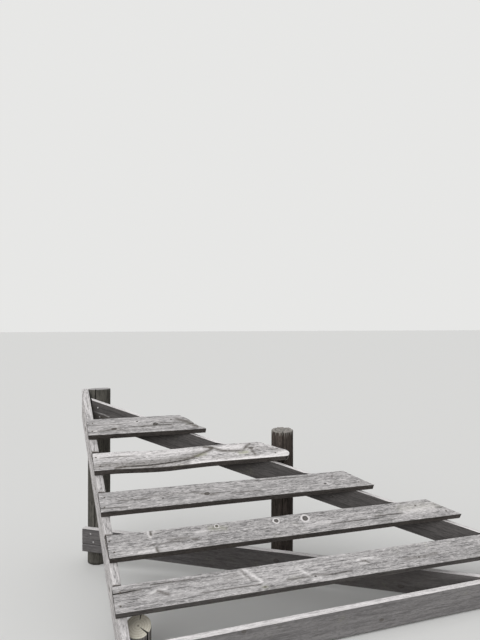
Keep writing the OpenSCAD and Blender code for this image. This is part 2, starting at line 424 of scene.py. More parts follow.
# %% Streaks
def stroke_mark(own, strokes):
    """Strength of streaks drawn as lines of places: each has its points, half width and strength."""
    total = np.zeros(len(own))
    for points, half_width, strength in strokes:
        points = np.asarray(points)
        best = np.full(len(own), np.inf)
        for start, stop in zip(points[:-1], points[1:]):
            leg = stop - start
            share = np.clip(((own[:, :2] - start) @ leg) / max(leg @ leg, 1e-12), 0, 1)
            best = np.minimum(best, np.hypot(*(own[:, :2] - start - share[:, None] * leg).T))
        total = np.maximum(total, strength * np.exp(-(best / half_width) ** 2))
    return total


off_streak = stroke_mark(np.array([[0.5, 0.01, 0.0]]), [([(0, 0), (1, 0)], 0.01, 1.0)])
print("a streak of half width 10 mm keeps", np.round(off_streak[0], 2), "of its strength 10 mm off its line")

# %% [markdown]
# ## The unshaded side
# The sides that face the front carry darker greys, partly weathered wood and partly painted shade.
# Faces turned to the far side and the undersides get a lighter grey without that painted shade.
# Which way a point faces in the world tells which side it is on.

# %% Unshaded side
UNSHADED_SIDE = np.array([0.35, 0.94, 0.0])


def lee_mark(facing):
    """1 on faces turned to the far side or straight down, by their direction in the world: these get a lighter
    grey without painted shade.
    """
    return np.maximum(smooth_between(facing @ UNSHADED_SIDE, 0.15, 0.5), smooth_between(-facing[:, 2], 0.6, 0.9))


print("sheltered: back, front, underside", lee_mark(np.array([[0, 1, 0], [0, -1, 0], [0, 0, -1]])))

# %% [markdown]
# ## Marks kept on the points
# The material has to know where the knots and cracks are, and a texture drawn apart from the mesh
# would miss them. So every point carries its marks as named attributes, which the shader reads.

# %% Marks and mesh
def paint_marks(mesh, marks):
    """Stores named values on the points of a mesh, and shades it smooth."""
    for label, values in marks.items():
        values = np.asarray(values, dtype=np.float32)
        kind, slot = ("FLOAT_VECTOR", "vector") if values.ndim == 2 else ("FLOAT", "value")
        mesh.attributes.new(label, kind, "POINT").data.foreach_set(slot, values.ravel())
    mesh.polygons.foreach_set("use_smooth", np.ones(len(mesh.polygons), dtype=bool))


def link_piece(name, mesh):
    """A new object in the scene that shows a mesh."""
    piece = bpy.data.objects.new(name, mesh)
    bpy.context.scene.collection.objects.link(piece)
    return piece


def mesh_piece(name, places, quads, marks):
    """A mesh object with its own marks on its points."""
    mesh = bpy.data.meshes.new(name)
    mesh.vertices.add(len(places))
    mesh.vertices.foreach_set("co", np.asarray(places, dtype=np.float32).ravel())
    mesh.loops.add(len(quads) * 4)
    mesh.loops.foreach_set("vertex_index", quads.astype(np.int32).ravel())
    mesh.polygons.add(len(quads))
    mesh.polygons.foreach_set("loop_start", np.arange(0, len(quads) * 4, 4, dtype=np.int32))
    mesh.polygons.foreach_set("loop_total", np.full(len(quads), 4, dtype=np.int32))
    mesh.update(calc_edges=True)
    mesh.validate()
    paint_marks(mesh, marks)
    return link_piece(name, mesh)


def triangles(*pieces):
    """How many triangles each piece has, for quads throughout."""
    return [len(piece.data.polygons) * 2 for piece in pieces]


# %% [markdown]
# ## Building one weathered plank
# The block is bent to the board's outline first. Then cracks pull one row of points down between
# its neighbours, edges are rounded by a radius that changes along the board, and the field of
# heights roughens everything. The marks that the material needs are kept on the points.

# %% The block of a plank
class PlankBlock:
    """The skin points of a board, bent to the outline of its two ends."""

    def __init__(self, plank, dense):
        left, right = end_line(plank, "left"), end_line(plank, "right")
        self.plank = plank
        self.first, self.last = (end_at(line, plank.width / 2, 0.0, plank.thick) for line in (left, right))
        length = self.last - self.first
        extra = [x - self.first + d for x, half, count in dense for d in np.linspace(-half, half, count)]
        stations = spaced(length, STATION_STEP, extra) / length
        layers = spaced(plank.thick, LAYER_STEP)
        self.rows = spaced(plank.width, ROW_STEP)
        i, self.row, k, self.quads = block_skin(len(stations), len(self.rows), len(layers))
        self.across, self.through = self.rows[self.row], layers[k]
        self.start = end_at(left, self.across, self.through, plank.thick)
        self.stop = end_at(right, self.across, self.through, plank.thick)
        self.along = self.start + stations[i] * (self.stop - self.start)
        self.cracked = np.zeros(len(self.along))

    def own(self):
        return np.stack([self.along, self.across, self.through], axis=1)


trial_block = PlankBlock(planks["tread_1"], [])
print("tread_1 starts as", len(trial_block.rows), "rows and", len(trial_block.along), "skin points")

# %% Cracks
CRACK_PULL = 6
CRACK_WANDER = 0.0012
NARROWEST = 0.0007
TIP_TAPER = 0.03
END_TAPER = 0.05
AT_END = 0.01


def open_share(block, x_0, x_1):
    """How far a crack is open, by place along: it closes at its tips, but not at a board's end."""
    if x_1 >= block.last - AT_END:
        room = (block.along - x_0) / END_TAPER
    elif x_0 <= block.first + AT_END:
        room = (x_1 - block.along) / END_TAPER
    else:
        room = np.minimum(block.along - x_0, x_1 - block.along) / TIP_TAPER
    return np.clip(room, 0, 1) ** 0.5


def open_crack(block, crack, seed):
    """Sinks one row of points along a line, and parts the rows beside it."""
    (x_0, across_0), (x_1, across_1), half, deep = crack
    row = int(np.argmin(np.abs(block.rows - (across_0 + across_1) / 2)))
    row = min(max(row, CRACK_PULL), len(block.rows) - CRACK_PULL - 1)
    from_row = block.row - row
    along = block.along
    path = np.interp(along, [x_0, x_1], [across_0, across_1])
    path = path + CRACK_WANDER * noise_at(seed + row, along * 22)
    near = smooth_between(along, x_0 - END_TAPER, x_0) * (1 - smooth_between(along, x_1, x_1 + END_TAPER))
    opened = open_share(block, x_0, x_1)
    pull = np.clip(1 - np.abs(from_row) / CRACK_PULL, 0, 1) * near
    across = block.across + (path - block.rows[row]) * pull
    beside = path + np.sign(from_row) * np.maximum(half * opened, NARROWEST)
    parted = (np.abs(from_row) == 1) & (near > 0.02)
    block.across = np.where(parted, across + (beside - across) * near, across)
    sunk = (from_row == 0) * opened * near
    block.through = block.through * (1 - sunk * deep / block.plank.thick)
    block.cracked = np.maximum(block.cracked, sunk)


open_crack(trial_block, ((0.1, 0.07), (0.3, 0.07), 0.002, 0.01), 1)
print("one crack 200 mm long sinks", int((trial_block.cracked > 0.5).sum()), "points")

# %% Chips and worn edges
EDGE_ROUND = 0.0014
NICK_SLANT = 0.3


def bite_nick(block, nick):
    """Takes a chip out of the back edge."""
    x, reach, half = nick
    width = block.plank.width
    bite = reach * np.clip(1 - np.abs(block.along - x - NICK_SLANT * (width - block.across)) / half, 0, 1)
    block.across = block.across - bite * smooth_between(block.across, width - 2.2 * reach, width)


def worn_radius(block, edge_round, seed):
    """The radius of the edges at each point: uneven, with a few places worn far more."""
    uneven = noise_at(seed + 3, block.along * 9, block.across * 8, block.through * 20)
    trodden = noise_at(seed + 4, block.along * 3.1, block.across * 6, block.through * 9)
    return edge_round * (1 + 0.55 * uneven + 0.6 * smooth_between(trodden, 0.45, 0.9))


def round_edges(block, radius):
    """The block's points drawn in to round edges, and the way out of the wood at each."""
    own, zero = block.own(), np.zeros(len(radius))
    lows = np.stack([block.start, zero, zero], axis=1)
    highs = np.stack([block.stop, zero + block.plank.width, zero + block.plank.thick], axis=1)
    reach = radius[:, None]
    gap = np.maximum(reach - (highs - own), 0) - np.maximum(reach - (own - lows), 0)
    far = np.linalg.norm(gap, axis=1)[:, None]
    outward = gap / np.maximum(far, 1e-9)
    moved = (far > 1e-9) & (block.cracked <= 0.05)[:, None]
    return own + np.where(moved, outward * reach - gap, 0), outward


trial_radius = worn_radius(trial_block, EDGE_ROUND, 1)
print(f"edges are worn to between {trial_radius.min() * 1000:.1f} and {trial_radius.max() * 1000:.1f} mm")

# %% Height of knots and ends
RING_RISE, RING_RADIUS, RING_WIDTH = 0.0011, 0.9, 0.45
HEART_SINK, HEART_WIDTH = 0.0008, 0.5
END_WAVES = (20, 120, 90)
END_ROUGH, END_WASHED = 0.0012, 0.0014


def knot_ring(nearest):
    """1 on the ring round a knot's heart, by the distance in knot radii."""
    return np.exp(-((nearest - RING_RADIUS) / RING_WIDTH) ** 2)


def knot_height(nearest):
    """A knot stands up as a low ring round a slightly sunken heart."""
    return RING_RISE * knot_ring(nearest) - HEART_SINK * np.exp(-(nearest / HEART_WIDTH) ** 2)


def end_height(own, seed):
    """The sawn ends are rough and a little washed back."""
    return END_ROUGH * value_noise(own * END_WAVES, seed + 5) - END_WASHED


print("a knot stands", np.round(knot_height(np.array([0.0, 0.9])) * 1000, 2), "mm at its heart and at its ring")

# %% Weathered plank
SEED_SHIFT = 3.1
GRAIN_SHIFT = 1.37
INSET = 0.0001


def weathered_plank(name, plank, seed, depth=0.0006, knots=(), cracks=(), nicks=(), strokes=(), pale=(),
                    green=(), edge_round=EDGE_ROUND, cup=0.0, inset=INSET, drawn_out=KNOT_LENGTH):
    """A plank with its own cracks, knots and worn edges, in place of a model node."""
    round_knots = [(x, 3 * radius, 11) for x, _, radius in knots]
    round_nicks = [(x, 1.6 * half, 9) for x, _, half in nicks]
    block = PlankBlock(plank, round_knots + round_nicks)
    for crack in cracks:
        open_crack(block, crack, seed)
    for nick in nicks:
        bite_nick(block, nick)
    own, outward = round_edges(block, worn_radius(block, edge_round, seed))
    nearest, grain = knot_marks(own, knots, drawn_out)
    end = np.abs(outward[:, 0])
    rise = weather_height(own + seed * SEED_SHIFT, seed, depth) + knot_height(nearest)
    rise += end * end_height(own, seed)
    own += outward * (rise - 0.5 * depth - inset)[:, None]
    hollow = 1 - (2 * own[:, 1] / plank.width - 1) ** 2
    own[:, 2] -= cup * hollow * (own[:, 2] / plank.thick)
    own[:, 2] += plank.hang(own[:, 0])
    on_face = smooth_between(np.abs(outward[:, 2]), 0.4, 0.8)
    facing = outward @ plank.axes
    # sky is 1 on faces turned up, which get the lit greys; the other faces get painted shade, lighter on the
    # far side and undersides
    piece = mesh_piece(name, plank.to_world(own), block.quads, {
        "grain": grain + seed * GRAIN_SHIFT, "knot": nearest + KNOT_REACH * (1 - on_face),
        "crack": block.cracked, "end": smooth_between(end, 0.55, 0.85),
        "stain": on_face * stroke_mark(own, strokes), "bleach": on_face * stroke_mark(own, pale),
        "green": on_face * stroke_mark(own, green), "sky": smooth_between(facing[:, 2], 0.35, 0.8),
        "lee": lee_mark(facing)})
    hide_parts(plank.node)
    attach(piece, "root")
    return piece


print("a plank is set in by", INSET * 1000, "mm, so that it stays inside the solid's box")

# %% [markdown]
# ## Knots and cracks of the treads
# These are the marks that make the five treads different from one another. Each is given by the
# pixel where it shows in the picture, and lands on the top face of its own tread.

# %% Knots and cracks by pixel
# a knot is its pixel and its radius in metres
KNOTS_SEEN = {
    "tread_1": [(114.2, 428.9, 0.010), (155.8, 424.0, 0.012), (137.0, 421.5, 0.005)],
    "tread_2": [(210.5, 447.5, 0.010), (251.0, 447.6, 0.009)],
    "tread_3": [(207.0, 493.5, 0.010), (325.0, 483.5, 0.006), (163.0, 498.0, 0.004)],
    "tread_4": [(216.7, 526.0, 0.0085), (276.2, 520.7, 0.012), (305.1, 518.1, 0.0165)],
    "tread_5": [(365.4, 560.6, 0.003), (265.0, 587.0, 0.005), (315.6, 576.3, 0.005), (376.8, 564.9, 0.0035),
                (419.0, 557.0, 0.005)],
}
# a crack is its two end pixels, half its width and its depth
CRACKS_SEEN = {
    "tread_1": [(87.5, 425.5, 122.0, 424.2, 0.0012, 0.006), (158.0, 421.8, 200.0, 423.4, 0.0018, 0.010),
                (130.0, 427.0, 172.0, 424.2, 0.0009, 0.005)],
    "tread_2": [(128.0, 466.6, 191.0, 458.8, 0.0036, 0.008), (100.0, 458.0, 135.0, 455.5, 0.0009, 0.004)],
    "tread_3": [(118.0, 500.5, 150.0, 498.3, 0.0012, 0.005), (255.0, 480.6, 318.0, 475.4, 0.0010, 0.005),
                (99.0, 508.5, 128.0, 506.8, 0.0013, 0.006), (232.0, 492.8, 262.0, 490.0, 0.0011, 0.005)],
    "tread_4": [(375.0, 516.0, 402.0, 512.9, 0.0022, 0.010), (150.0, 545.0, 182.0, 541.0, 0.0010, 0.006),
                (330.0, 523.8, 368.0, 518.6, 0.0010, 0.005)],
    "tread_5": [(110.0, 594.7, 140.0, 589.6, 0.0040, 0.012), (287.0, 579.6, 309.0, 576.6, 0.0014, 0.008),
                (330.0, 574.4, 352.0, 570.4, 0.0010, 0.006), (201.0, 593.0, 262.0, 584.0, 0.0010, 0.005),
                (150.0, 584.5, 196.0, 578.5, 0.0009, 0.005)],
}
for node in KNOTS_SEEN:
    print(node, "has", len(KNOTS_SEEN[node]), "knots and", len(CRACKS_SEEN[node]), "cracks in view")

# %% [markdown]
# ## Dark, pale and green streaks
# A streak is a line of pixels with a half width in metres and a strength. Dark ones are swirls of
# grain and old dirt, pale ones are bleached or trodden wood, and green ones are a film of algae.

# %% Dark streaks by pixel
STREAKS_SEEN = {
    "tread_1": [(0.010, 0.5, 100, 431, 113, 429.5, 128, 431), (0.013, 0.8, 176, 418.5, 186, 421, 197, 426),
                (0.009, 0.55, 140, 426.5, 156, 424.6, 172, 425), (0.012, 0.5, 108, 429.5, 120, 428.6)],
    "tread_2": [(0.0125, 1.0, 116, 468.0, 127, 466.2, 141, 465.6, 152, 465.0, 160, 463.8, 168, 462.6,
                 176, 461.3, 185, 459.3, 193, 457.0, 200, 454.0, 206, 451.3, 213, 448.2),
                (0.024, 0.6, 97, 465.8, 130, 463.6, 160, 461.2, 185, 457.5, 202, 453.0),
                (0.016, 0.45, 170, 459.4, 195, 454.4, 212, 448.6),
                (0.012, 0.4, 124, 469.2, 152, 467.6, 176, 464.6, 190, 462.0),
                (0.012, 0.9, 204, 446.8, 213, 447.6, 222, 450.4, 236, 450.6, 243, 449.8),
                (0.011, 0.8, 243, 449.6, 246, 446.6, 249.5, 443.8),
                (0.013, 0.75, 247, 446.5, 251, 448.5, 253.5, 451.5, 255, 454.5),
                (0.012, 0.45, 251, 444.8, 255, 447.2, 259, 450.0),
                (0.012, 0.35, 258, 446.4, 268, 447.6, 279, 449.6),
                (0.012, 0.3, 214, 457.5, 250, 455.0, 262, 453.0)],
    "tread_3": [(0.009, 0.6, 197, 492.4, 205, 493.8, 213, 494.2, 219, 492.6), (0.010, 0.3, 150, 496, 196, 492)],
    "tread_4": [(0.008, 1.0, 156.4, 547.5, 159.2, 553.6), (0.008, 1.0, 150.3, 529.5, 150.9, 534.6),
                (0.009, 0.6, 170, 539.8, 188, 537.6), (0.008, 0.7, 192.5, 539.2, 197.5, 538.6)],
    "tread_5": [(0.006, 0.8, 361.5, 560.6, 366, 560.8, 369.5, 562.2),
                (0.007, 0.55, 240.8, 570.3, 246.3, 575.8, 252.7, 580.3), (0.020, 0.25, 226, 579, 237, 574.5),
                (0.006, 0.6, 311, 575.2, 317, 574.3, 331, 574.4), (0.010, 0.5, 405, 559, 419, 557, 437, 553),
                (0.008, 0.8, 158, 590.6, 163, 592.4, 169, 594.2)],
}
print("dark streaks:", {node: len(seen) for node, seen in STREAKS_SEEN.items()})

# %% Pale and green streaks by pixel
PALE_SEEN = {
    "tread_1": [(0.016, 0.4, 96, 425, 150, 420, 176, 417.5)],
    "tread_2": [(0.019, 1.0, 192, 464.0, 230, 460.6, 262, 457.0, 286, 454.4),
                (0.022, 0.9, 280, 452.6, 289, 451.6), (0.016, 0.7, 196, 450.2, 236, 446.6, 243, 445.4),
                (0.024, 0.6, 96, 456, 120, 454.5, 190, 449.5)],
    "tread_3": [(0.012, 0.3, 104, 507, 150, 503, 230, 495), (0.008, 1.0, 326.8, 483.0, 328.0, 483.6),
                (0.006, 0.6, 320, 481.6, 325, 481.2)],
    "tread_4": [(0.012, 0.4, 118, 556, 150, 552, 190, 547), (0.012, 0.7, 307, 527, 318, 523.5, 330, 522),
                (0.006, 0.8, 200, 531.5, 203, 529.5), (0.008, 1.0, 147.8, 530.0, 148.6, 534.5, 150.6, 537.0),
                (0.008, 1.0, 153.2, 530, 152.8, 534.5), (0.012, 1.0, 140, 552.6, 147, 551.4, 154.5, 550.0),
                (0.010, 0.8, 196, 532.5, 205, 531), (0.026, 0.85, 404, 512, 416, 509.5, 432, 507)],
    "tread_5": [(0.010, 0.3, 140, 600, 230, 588, 330, 573), (0.008, 0.8, 150, 593.2, 158, 589.6, 167, 588.8),
                (0.007, 0.9, 357.3, 560.3, 363.7, 558.2, 372.7, 558.2), (0.006, 0.6, 360, 563, 366, 562.8),
                (0.009, 1.0, 244, 569.5, 251, 573.7, 257, 577.9, 262, 581),
                (0.006, 0.7, 238.6, 571.5, 243, 575.7, 249, 580.2),
                (0.008, 0.9, 299.7, 568.9, 304.5, 572.6, 310.3, 574.7), (0.009, 0.8, 313.5, 579.6, 321, 578),
                (0.012, 0.5, 322, 582.5, 345, 576)],
}
GREEN_SEEN = {
    "tread_2": [(0.012, 0.55, 240, 452.6, 248, 451.4), (0.012, 0.35, 197, 455.5, 206, 453.5)],
    "tread_4": [(0.016, 0.25, 210, 528, 225, 528), (0.03, 0.12, 400, 508, 440, 504)],
    "tread_5": [(0.009, 0.25, 263, 587.5, 267, 586.5)],
}
print("pale streaks:", {node: len(seen) for node, seen in PALE_SEEN.items()})

# %% From pixels to places on a board
def seen_knots(plank, seen):
    return [(*plank.mark(u, v), radius) for u, v, radius in seen]


def seen_cracks(plank, seen):
    return [(plank.mark(u_0, v_0), plank.mark(u_1, v_1), half, deep) for u_0, v_0, u_1, v_1, half, deep in seen]


def seen_streaks(plank, seen):
    """Streaks as lines of places along and across a plank, with half width and strength."""
    return [([plank.mark(u, v) for u, v in zip(pixels[::2], pixels[1::2])], half_width, strength)
            for half_width, strength, *pixels in seen]


def crack_shades(cracks):
    """Darkening along both lips of every crack, as streaks."""
    return [([start, stop], half * 2.2, 0.65) for start, stop, half, _ in cracks]


first_knot = seen_knots(planks["tread_1"], KNOTS_SEEN["tread_1"])[0]
print("the first knot of tread_1: along, across and radius", np.round(first_knot, 3), "m")

# %% Treads
NICK_SEEN = (150.5, 530.0)
NICK_REACH, NICK_HALF = 0.024, 0.005
TREAD_WEAR = {
    "tread_2": {"depth": 0.0010, "edge_round": 0.0026, "cup": 0.0022},
    "tread_4": {"nicks": [(planks["tread_4"].mark(*NICK_SEEN)[0], NICK_REACH, NICK_HALF)], "drawn_out": 1.05},
}
treads = {}
for number in range(1, 6):
    node = f"tread_{number}"
    plank = planks[node]
    cracks = seen_cracks(plank, CRACKS_SEEN[node])
    treads[node] = weathered_plank(
        f"weathered_{node}", plank, seed=11 * number, knots=seen_knots(plank, KNOTS_SEEN[node]), cracks=cracks,
        strokes=seen_streaks(plank, STREAKS_SEEN[node]) + crack_shades(cracks),
        pale=seen_streaks(plank, PALE_SEEN[node]), green=seen_streaks(plank, GREEN_SEEN.get(node, [])),
        **{"depth": 0.0007, "cup": 0.0008, **TREAD_WEAR.get(node, {})})
    print(node, *triangles(treads[node]), "triangles")

# %% [markdown]
# ## Front board and tie plank
# Both stand on edge and are less worn than the treads, because nobody steps on them. Their broad
# faces look at the camera from the shade. The tie plank gets painted shade under the treads, darker towards its
# right end.

# %% Boards on edge
BOARD_INSET = 0.0007
board, tie = planks["front_board"], planks["tie_plank"]
front_board = weathered_plank(
    "weathered_front_board", board, seed=71, inset=BOARD_INSET,
    knots=[*seen_knots(board, [(214.6, 634.2, 0.008), (243.9, 631.6, 0.008)]),
           (1.35, 0.05, 0.008), (2.2, 0.05, 0.009)],
    cracks=[((0.0, 0.10), (0.17, 0.104), 0.0014, 0.009), ((2.1, 0.03), (2.66, 0.033), 0.0014, 0.008)])
tie_plank = weathered_plank(
    "weathered_tie_plank", tie, seed=83, inset=BOARD_INSET,
    knots=[(0.5, 0.05, 0.012), (1.3, 0.10, 0.010), (2.05, 0.04, 0.010)],
    cracks=[((0.0, 0.05), (0.26, 0.054), 0.0016, 0.010)],
    # two streaks of painted shade under the treads, the stronger one towards the right end
    strokes=[([(0.9, 0.07), (1.6, 0.07)], 0.16, 0.22), ([(1.6, 0.07), (tie.length, 0.07)], 0.16, 0.42)])
print("boards on edge:", *triangles(front_board, tie_plank), "triangles")

# %% [markdown]
# ## Notched stringers
# The notches make these planks too angular for a simple block. A voxel remesh of the solid rounds
# the edges a little, as wear does, and gives points everywhere for the weather to move. The remesh
# works in the plank's own directions, so its grid runs with the grain.

# %% Remeshed solids
VOXEL = 0.0042


def evaluated_mesh(piece):
    """A plain mesh of what an object's modifiers make."""
    bpy.context.view_layer.update()
    return bpy.data.meshes.new_from_object(piece.evaluated_get(bpy.context.evaluated_depsgraph_get()))


def remeshed_plank(name, plank):
    """A copy of a plank's solid in its own directions, with points everywhere."""
    shape = joined_solid(plank.node)
    bmesh.ops.recalc_face_normals(shape, faces=shape.faces)
    mesh = bpy.data.meshes.new(name + "_solid")
    shape.to_mesh(mesh)
    shape.free()
    places = np.empty(len(mesh.vertices) * 3, dtype=np.float32)
    mesh.vertices.foreach_get("co", places)
    mesh.vertices.foreach_set("co", plank.to_own(places.reshape(-1, 3)).astype(np.float32).ravel())
    piece = link_piece(name, mesh)
    remesh = piece.modifiers.new("Even grid", "REMESH")
    remesh.mode = "VOXEL"
    remesh.voxel_size = VOXEL
    piece.data = evaluated_mesh(piece)
    piece.modifiers.remove(remesh)
    bpy.data.meshes.remove(mesh)
    piece.data.name = name
    return piece


stringers = {node: remeshed_plank("weathered_" + node, planks[node])
             for node in ("left_stringer", "right_stringer")}
print("stringers:", *triangles(*stringers.values()), "triangles")

# %% Places and marks on a stringer
# strength of the painted shade on the notch walls
NOTCH_SHADE = 0.95
NOTCH_CLEAR = 0.06


def points_and_normals(mesh):
    """Place and normal of every point of a mesh, as rows."""
    own, facing = (np.empty(len(mesh.vertices) * 3, dtype=np.float32) for _ in range(2))
    mesh.vertices.foreach_get("co", own)
    mesh.vertex_normals.foreach_get("vector", facing)
    return own.reshape(-1, 3).astype(float), facing.reshape(-1, 3).astype(float)


def notch_mark(own, facing, plank):
    """1 in the notches under the treads, whose walls get painted shade."""
    away_from_ends = (own[:, 0] > NOTCH_CLEAR) & (own[:, 0] < plank.length - NOTCH_CLEAR)
    cut = away_from_ends & (own[:, 1] > 0.02) & (np.abs(facing[:, 2]) < 0.6)
    return cut * smooth_between(plank.width - own[:, 1], 0.004, 0.009)


for node, piece in stringers.items():
    in_notch = notch_mark(*points_and_normals(piece.data), planks[node])
    print(node, "has", round(100 * in_notch.mean(), 1), "percent of its points in notches")

# %% Weathered stringer
STRINGER_RING_RISE = 0.0009


def weathered_stringer(piece, plank, seed, depth=0.0006, knots=(), strokes=(), pale=()):
    """Weathers a remeshed plank along its own grain, in place of a model node."""
    mesh = piece.data
    own, facing = points_and_normals(mesh)
    broad_face = np.abs(facing[:, 2]) > 0.5
    nearest, grain = knot_marks(own, knots)
    nearest = np.where(broad_face, nearest, KNOT_REACH)
    rise = weather_height(own + seed * SEED_SHIFT, seed, depth) - 0.9 * depth
    rise += np.where(broad_face, STRINGER_RING_RISE * knot_ring(nearest), 0)
    own += facing * rise[:, None]
    notch = notch_mark(own, facing, plank)
    near_side = smooth_between(facing[:, 2], 0.4, 0.8)
    in_world = facing @ plank.axes
    mesh.vertices.foreach_set("co", plank.to_world(own).astype(np.float32).ravel())
    mesh.update()
    # The notch walls carry painted shade: a dark stain, and neither lit top nor end grain. sky is 1 on faces
    # turned up, which get the lit greys; the other faces get painted shade.
    paint_marks(mesh, {
        "grain": grain + seed * GRAIN_SHIFT, "knot": nearest, "crack": np.zeros(len(own)),
        "end": smooth_between(np.abs(facing[:, 0]), 0.75, 0.95) * (1 - notch),
        "stain": np.maximum(near_side * stroke_mark(own, strokes), NOTCH_SHADE * notch),
        "bleach": near_side * stroke_mark(own, pale), "green": np.zeros(len(own)),
        "sky": smooth_between(in_world[:, 2], 0.1, 0.65) * (1 - notch), "lee": lee_mark(in_world)})
    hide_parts(plank.node)
    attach(piece, "root")
    return piece


left_plank, right_plank = planks["left_stringer"], planks["right_stringer"]
left_stringer = weathered_stringer(
    stringers["left_stringer"], left_plank, seed=91,
    knots=[(0.40, 0.05, 0.011), (0.95, 0.08, 0.010), (1.38, 0.06, 0.012)])
# the split near the right stringer's upper end is painted, not cut: painted shade below it, and a painted
# highlight along its lip
right_stringer = weathered_stringer(
    stringers["right_stringer"], right_plank, seed=97,
    knots=[(0.9, 0.07, 0.009), (1.7, 0.05, 0.008), (2.6, 0.08, 0.009)],
    strokes=seen_streaks(right_plank, [(0.014, 0.7, 93.5, 415.0, 100.0, 417.0, 107.0, 418.6)]),
    pale=seen_streaks(right_plank, [(0.0026, 0.85, 99.0, 413.2, 104.0, 414.8, 109.0, 417.0),
                                    (0.0026, 0.45, 94.0, 411.4, 99.0, 413.2)]))
print("marks on a stringer:", [mark.name for mark in left_stringer.data.attributes if not mark.is_internal])

# %% [markdown]
# ## Round posts
# A post is a peeled trunk, so it is almost round, and drying has opened long grooves and checks
# down its side. Rings of points are pulled in along these lines. The tops are sawn or rotted, with
# rings and a few cracks from the pith. The middle post's rim has splintered, so the paler wood of
# its top runs down the side in short points.

# %% Measures of a post
LEVEL_TOP = 0.05
RIM_EASE = 0.004


class RoundPost:
    """Where a post of the model stands, how thick and tall it is, and how its top slopes."""

    def __init__(self, node):
        corners = solid_shape(node)[0]
        low, high = corners.min(axis=0), corners.max(axis=0)
        self.node = node
        self.middle, self.radius = (low + high) / 2, (high[0] - low[0]) / 2
        self.foot, self.tall, self.peak = low[2], high[2] - low[2], high[2]
        rim = corners[corners[:, 2] > low[2] + 0.5 * self.tall]
        fit = np.linalg.lstsq(np.c_[rim[:, 1] - self.middle[1], np.ones(len(rim))], rim[:, 2], rcond=None)[0]
        self.slope = fit[0] if abs(fit[0]) > LEVEL_TOP else 0.0
        self.top = rim[:, 2].max() - abs(self.slope) * (self.radius - RIM_EASE)


posts = {node: RoundPost(node) for node in ("corner_post", "mid_post", "left_foot_post", "right_foot_post")}
for node, post in posts.items():
    top_angle = math.degrees(math.atan(post.slope))
    print(f"{node}: {2 * post.radius:.3f} m thick, {post.tall:.3f} m tall, top sloping {top_angle:.1f} degrees")

# %% Rings of points on a post
AROUND = 168
RING_STEP = 0.02
BELOW_RIM = 0.012
UNDER_RIM = np.array([0.008, 0.005, 0.0025])
RIM_WEAR = np.array([0.0003, 0.0009, 0.0020])
TOP_RINGS = [0.88, 0.8, 0.7, 0.6, 0.5, 0.4, 0.3, 0.2, 0.11, 0.04]


class PostRings:
    """Rings of points up the side of a post and in over its top."""

    def __init__(self, post, worn_rim):
        steps = int(post.tall / RING_STEP)
        side = np.linspace(0, 1, steps) * (1 - BELOW_RIM / post.tall)
        levels = np.concatenate([side, 1 - UNDER_RIM / post.tall])
        worn = np.concatenate([np.zeros(steps), worn_rim * RIM_WEAR])
        top_rings = np.array([1 - 0.035 - 0.02 * worn_rim] + TOP_RINGS)
        self.count = len(levels) + len(top_rings)
        self.angle = np.tile(np.linspace(0, 2 * math.pi, AROUND, endpoint=False), self.count)
        self.level = np.repeat(np.concatenate([levels, np.ones(len(top_rings))]), AROUND)
        self.reach = np.repeat(np.concatenate([post.radius - worn, post.radius * top_rings]), AROUND)
        self.side = np.repeat(np.arange(self.count) < len(levels), AROUND).astype(float)
        self.turn_x, self.turn_y = np.cos(self.angle), np.sin(self.angle)
        top_here = post.top + post.slope * (self.reach * self.turn_y)
        self.height = post.foot + self.level * (top_here - post.foot)
        self.split = np.zeros(len(self.angle))
        self.dent = np.zeros(len(self.angle))

    def quads(self):
        """Faces between the rings, and one that closes each end."""
        grid = np.arange(self.count * AROUND).reshape(self.count, AROUND)
        beside = np.roll(grid, -1, axis=1)
        sides = np.stack([grid[:-1], beside[:-1], beside[1:], grid[1:]], axis=-1).reshape(-1, 4)
        return [tuple(quad) for quad in (*sides.tolist(), grid[-1].tolist(), grid[0][::-1].tolist())]


print("the corner post has", PostRings(posts["corner_post"], 1.0).count, "rings of", AROUND, "points")

# %% Grooves and drying checks
CHECK_FADE = 0.05
CHECK_WANDER = 0.05


def groove_dent(rings, groove, seed):
    """How far the side stands out or in: grooves along the grain, and slow swells."""
    belt = np.stack([rings.turn_x * 0.9, rings.turn_y * 0.9, rings.height * 0.12], axis=1)
    fine = groove * (0.6 * value_noise(belt * 14, seed) + 0.4 * value_noise(belt * 34, seed + 1) - 0.6)
    swell = value_noise(np.stack([rings.turn_x, rings.turn_y, rings.height * 2.2], axis=1) * 1.6, seed + 2)
    return fine + (0.0010 * swell - 0.0007)


def open_check(rings, radius, check, seed):
    """Opens a drying check: its angle, half width, depth, lowest and highest place, and inner end."""
    where, width, deep, from_z, to_z, core = check
    wander = where + CHECK_WANDER * noise_at(seed + int(where * 7), rings.height * 3.0)
    off = np.abs((rings.angle - wander + math.pi) % (2 * math.pi) - math.pi) * radius
    below = smooth_between(rings.height, from_z - CHECK_FADE, from_z)
    span = below * (1 - smooth_between(rings.height, to_z, to_z + CHECK_FADE))
    cut = np.clip(1 - off / width, 0, 1) * span
    inner = np.clip((rings.reach / radius - core) / 0.2, 0, 1)
    rings.dent -= deep * cut * inner * rings.side
    rings.split = np.maximum(rings.split, smooth_between(cut * inner, 0.2, 0.7))


trial_rings = PostRings(posts["mid_post"], 1.0)
open_check(trial_rings, posts["mid_post"].radius, (4.4, 0.004, 0.010, 0.2, 1.3, 0.25), 1)
print("one check sinks", int((trial_rings.dent < -0.001).sum()), "points by more than 1 mm")

# %% Tops of the posts
RIM_BAND = (0.006, 0.003)
CROWN_BAND = (0.07, 0.003)
SPLIT_SINK = 0.004


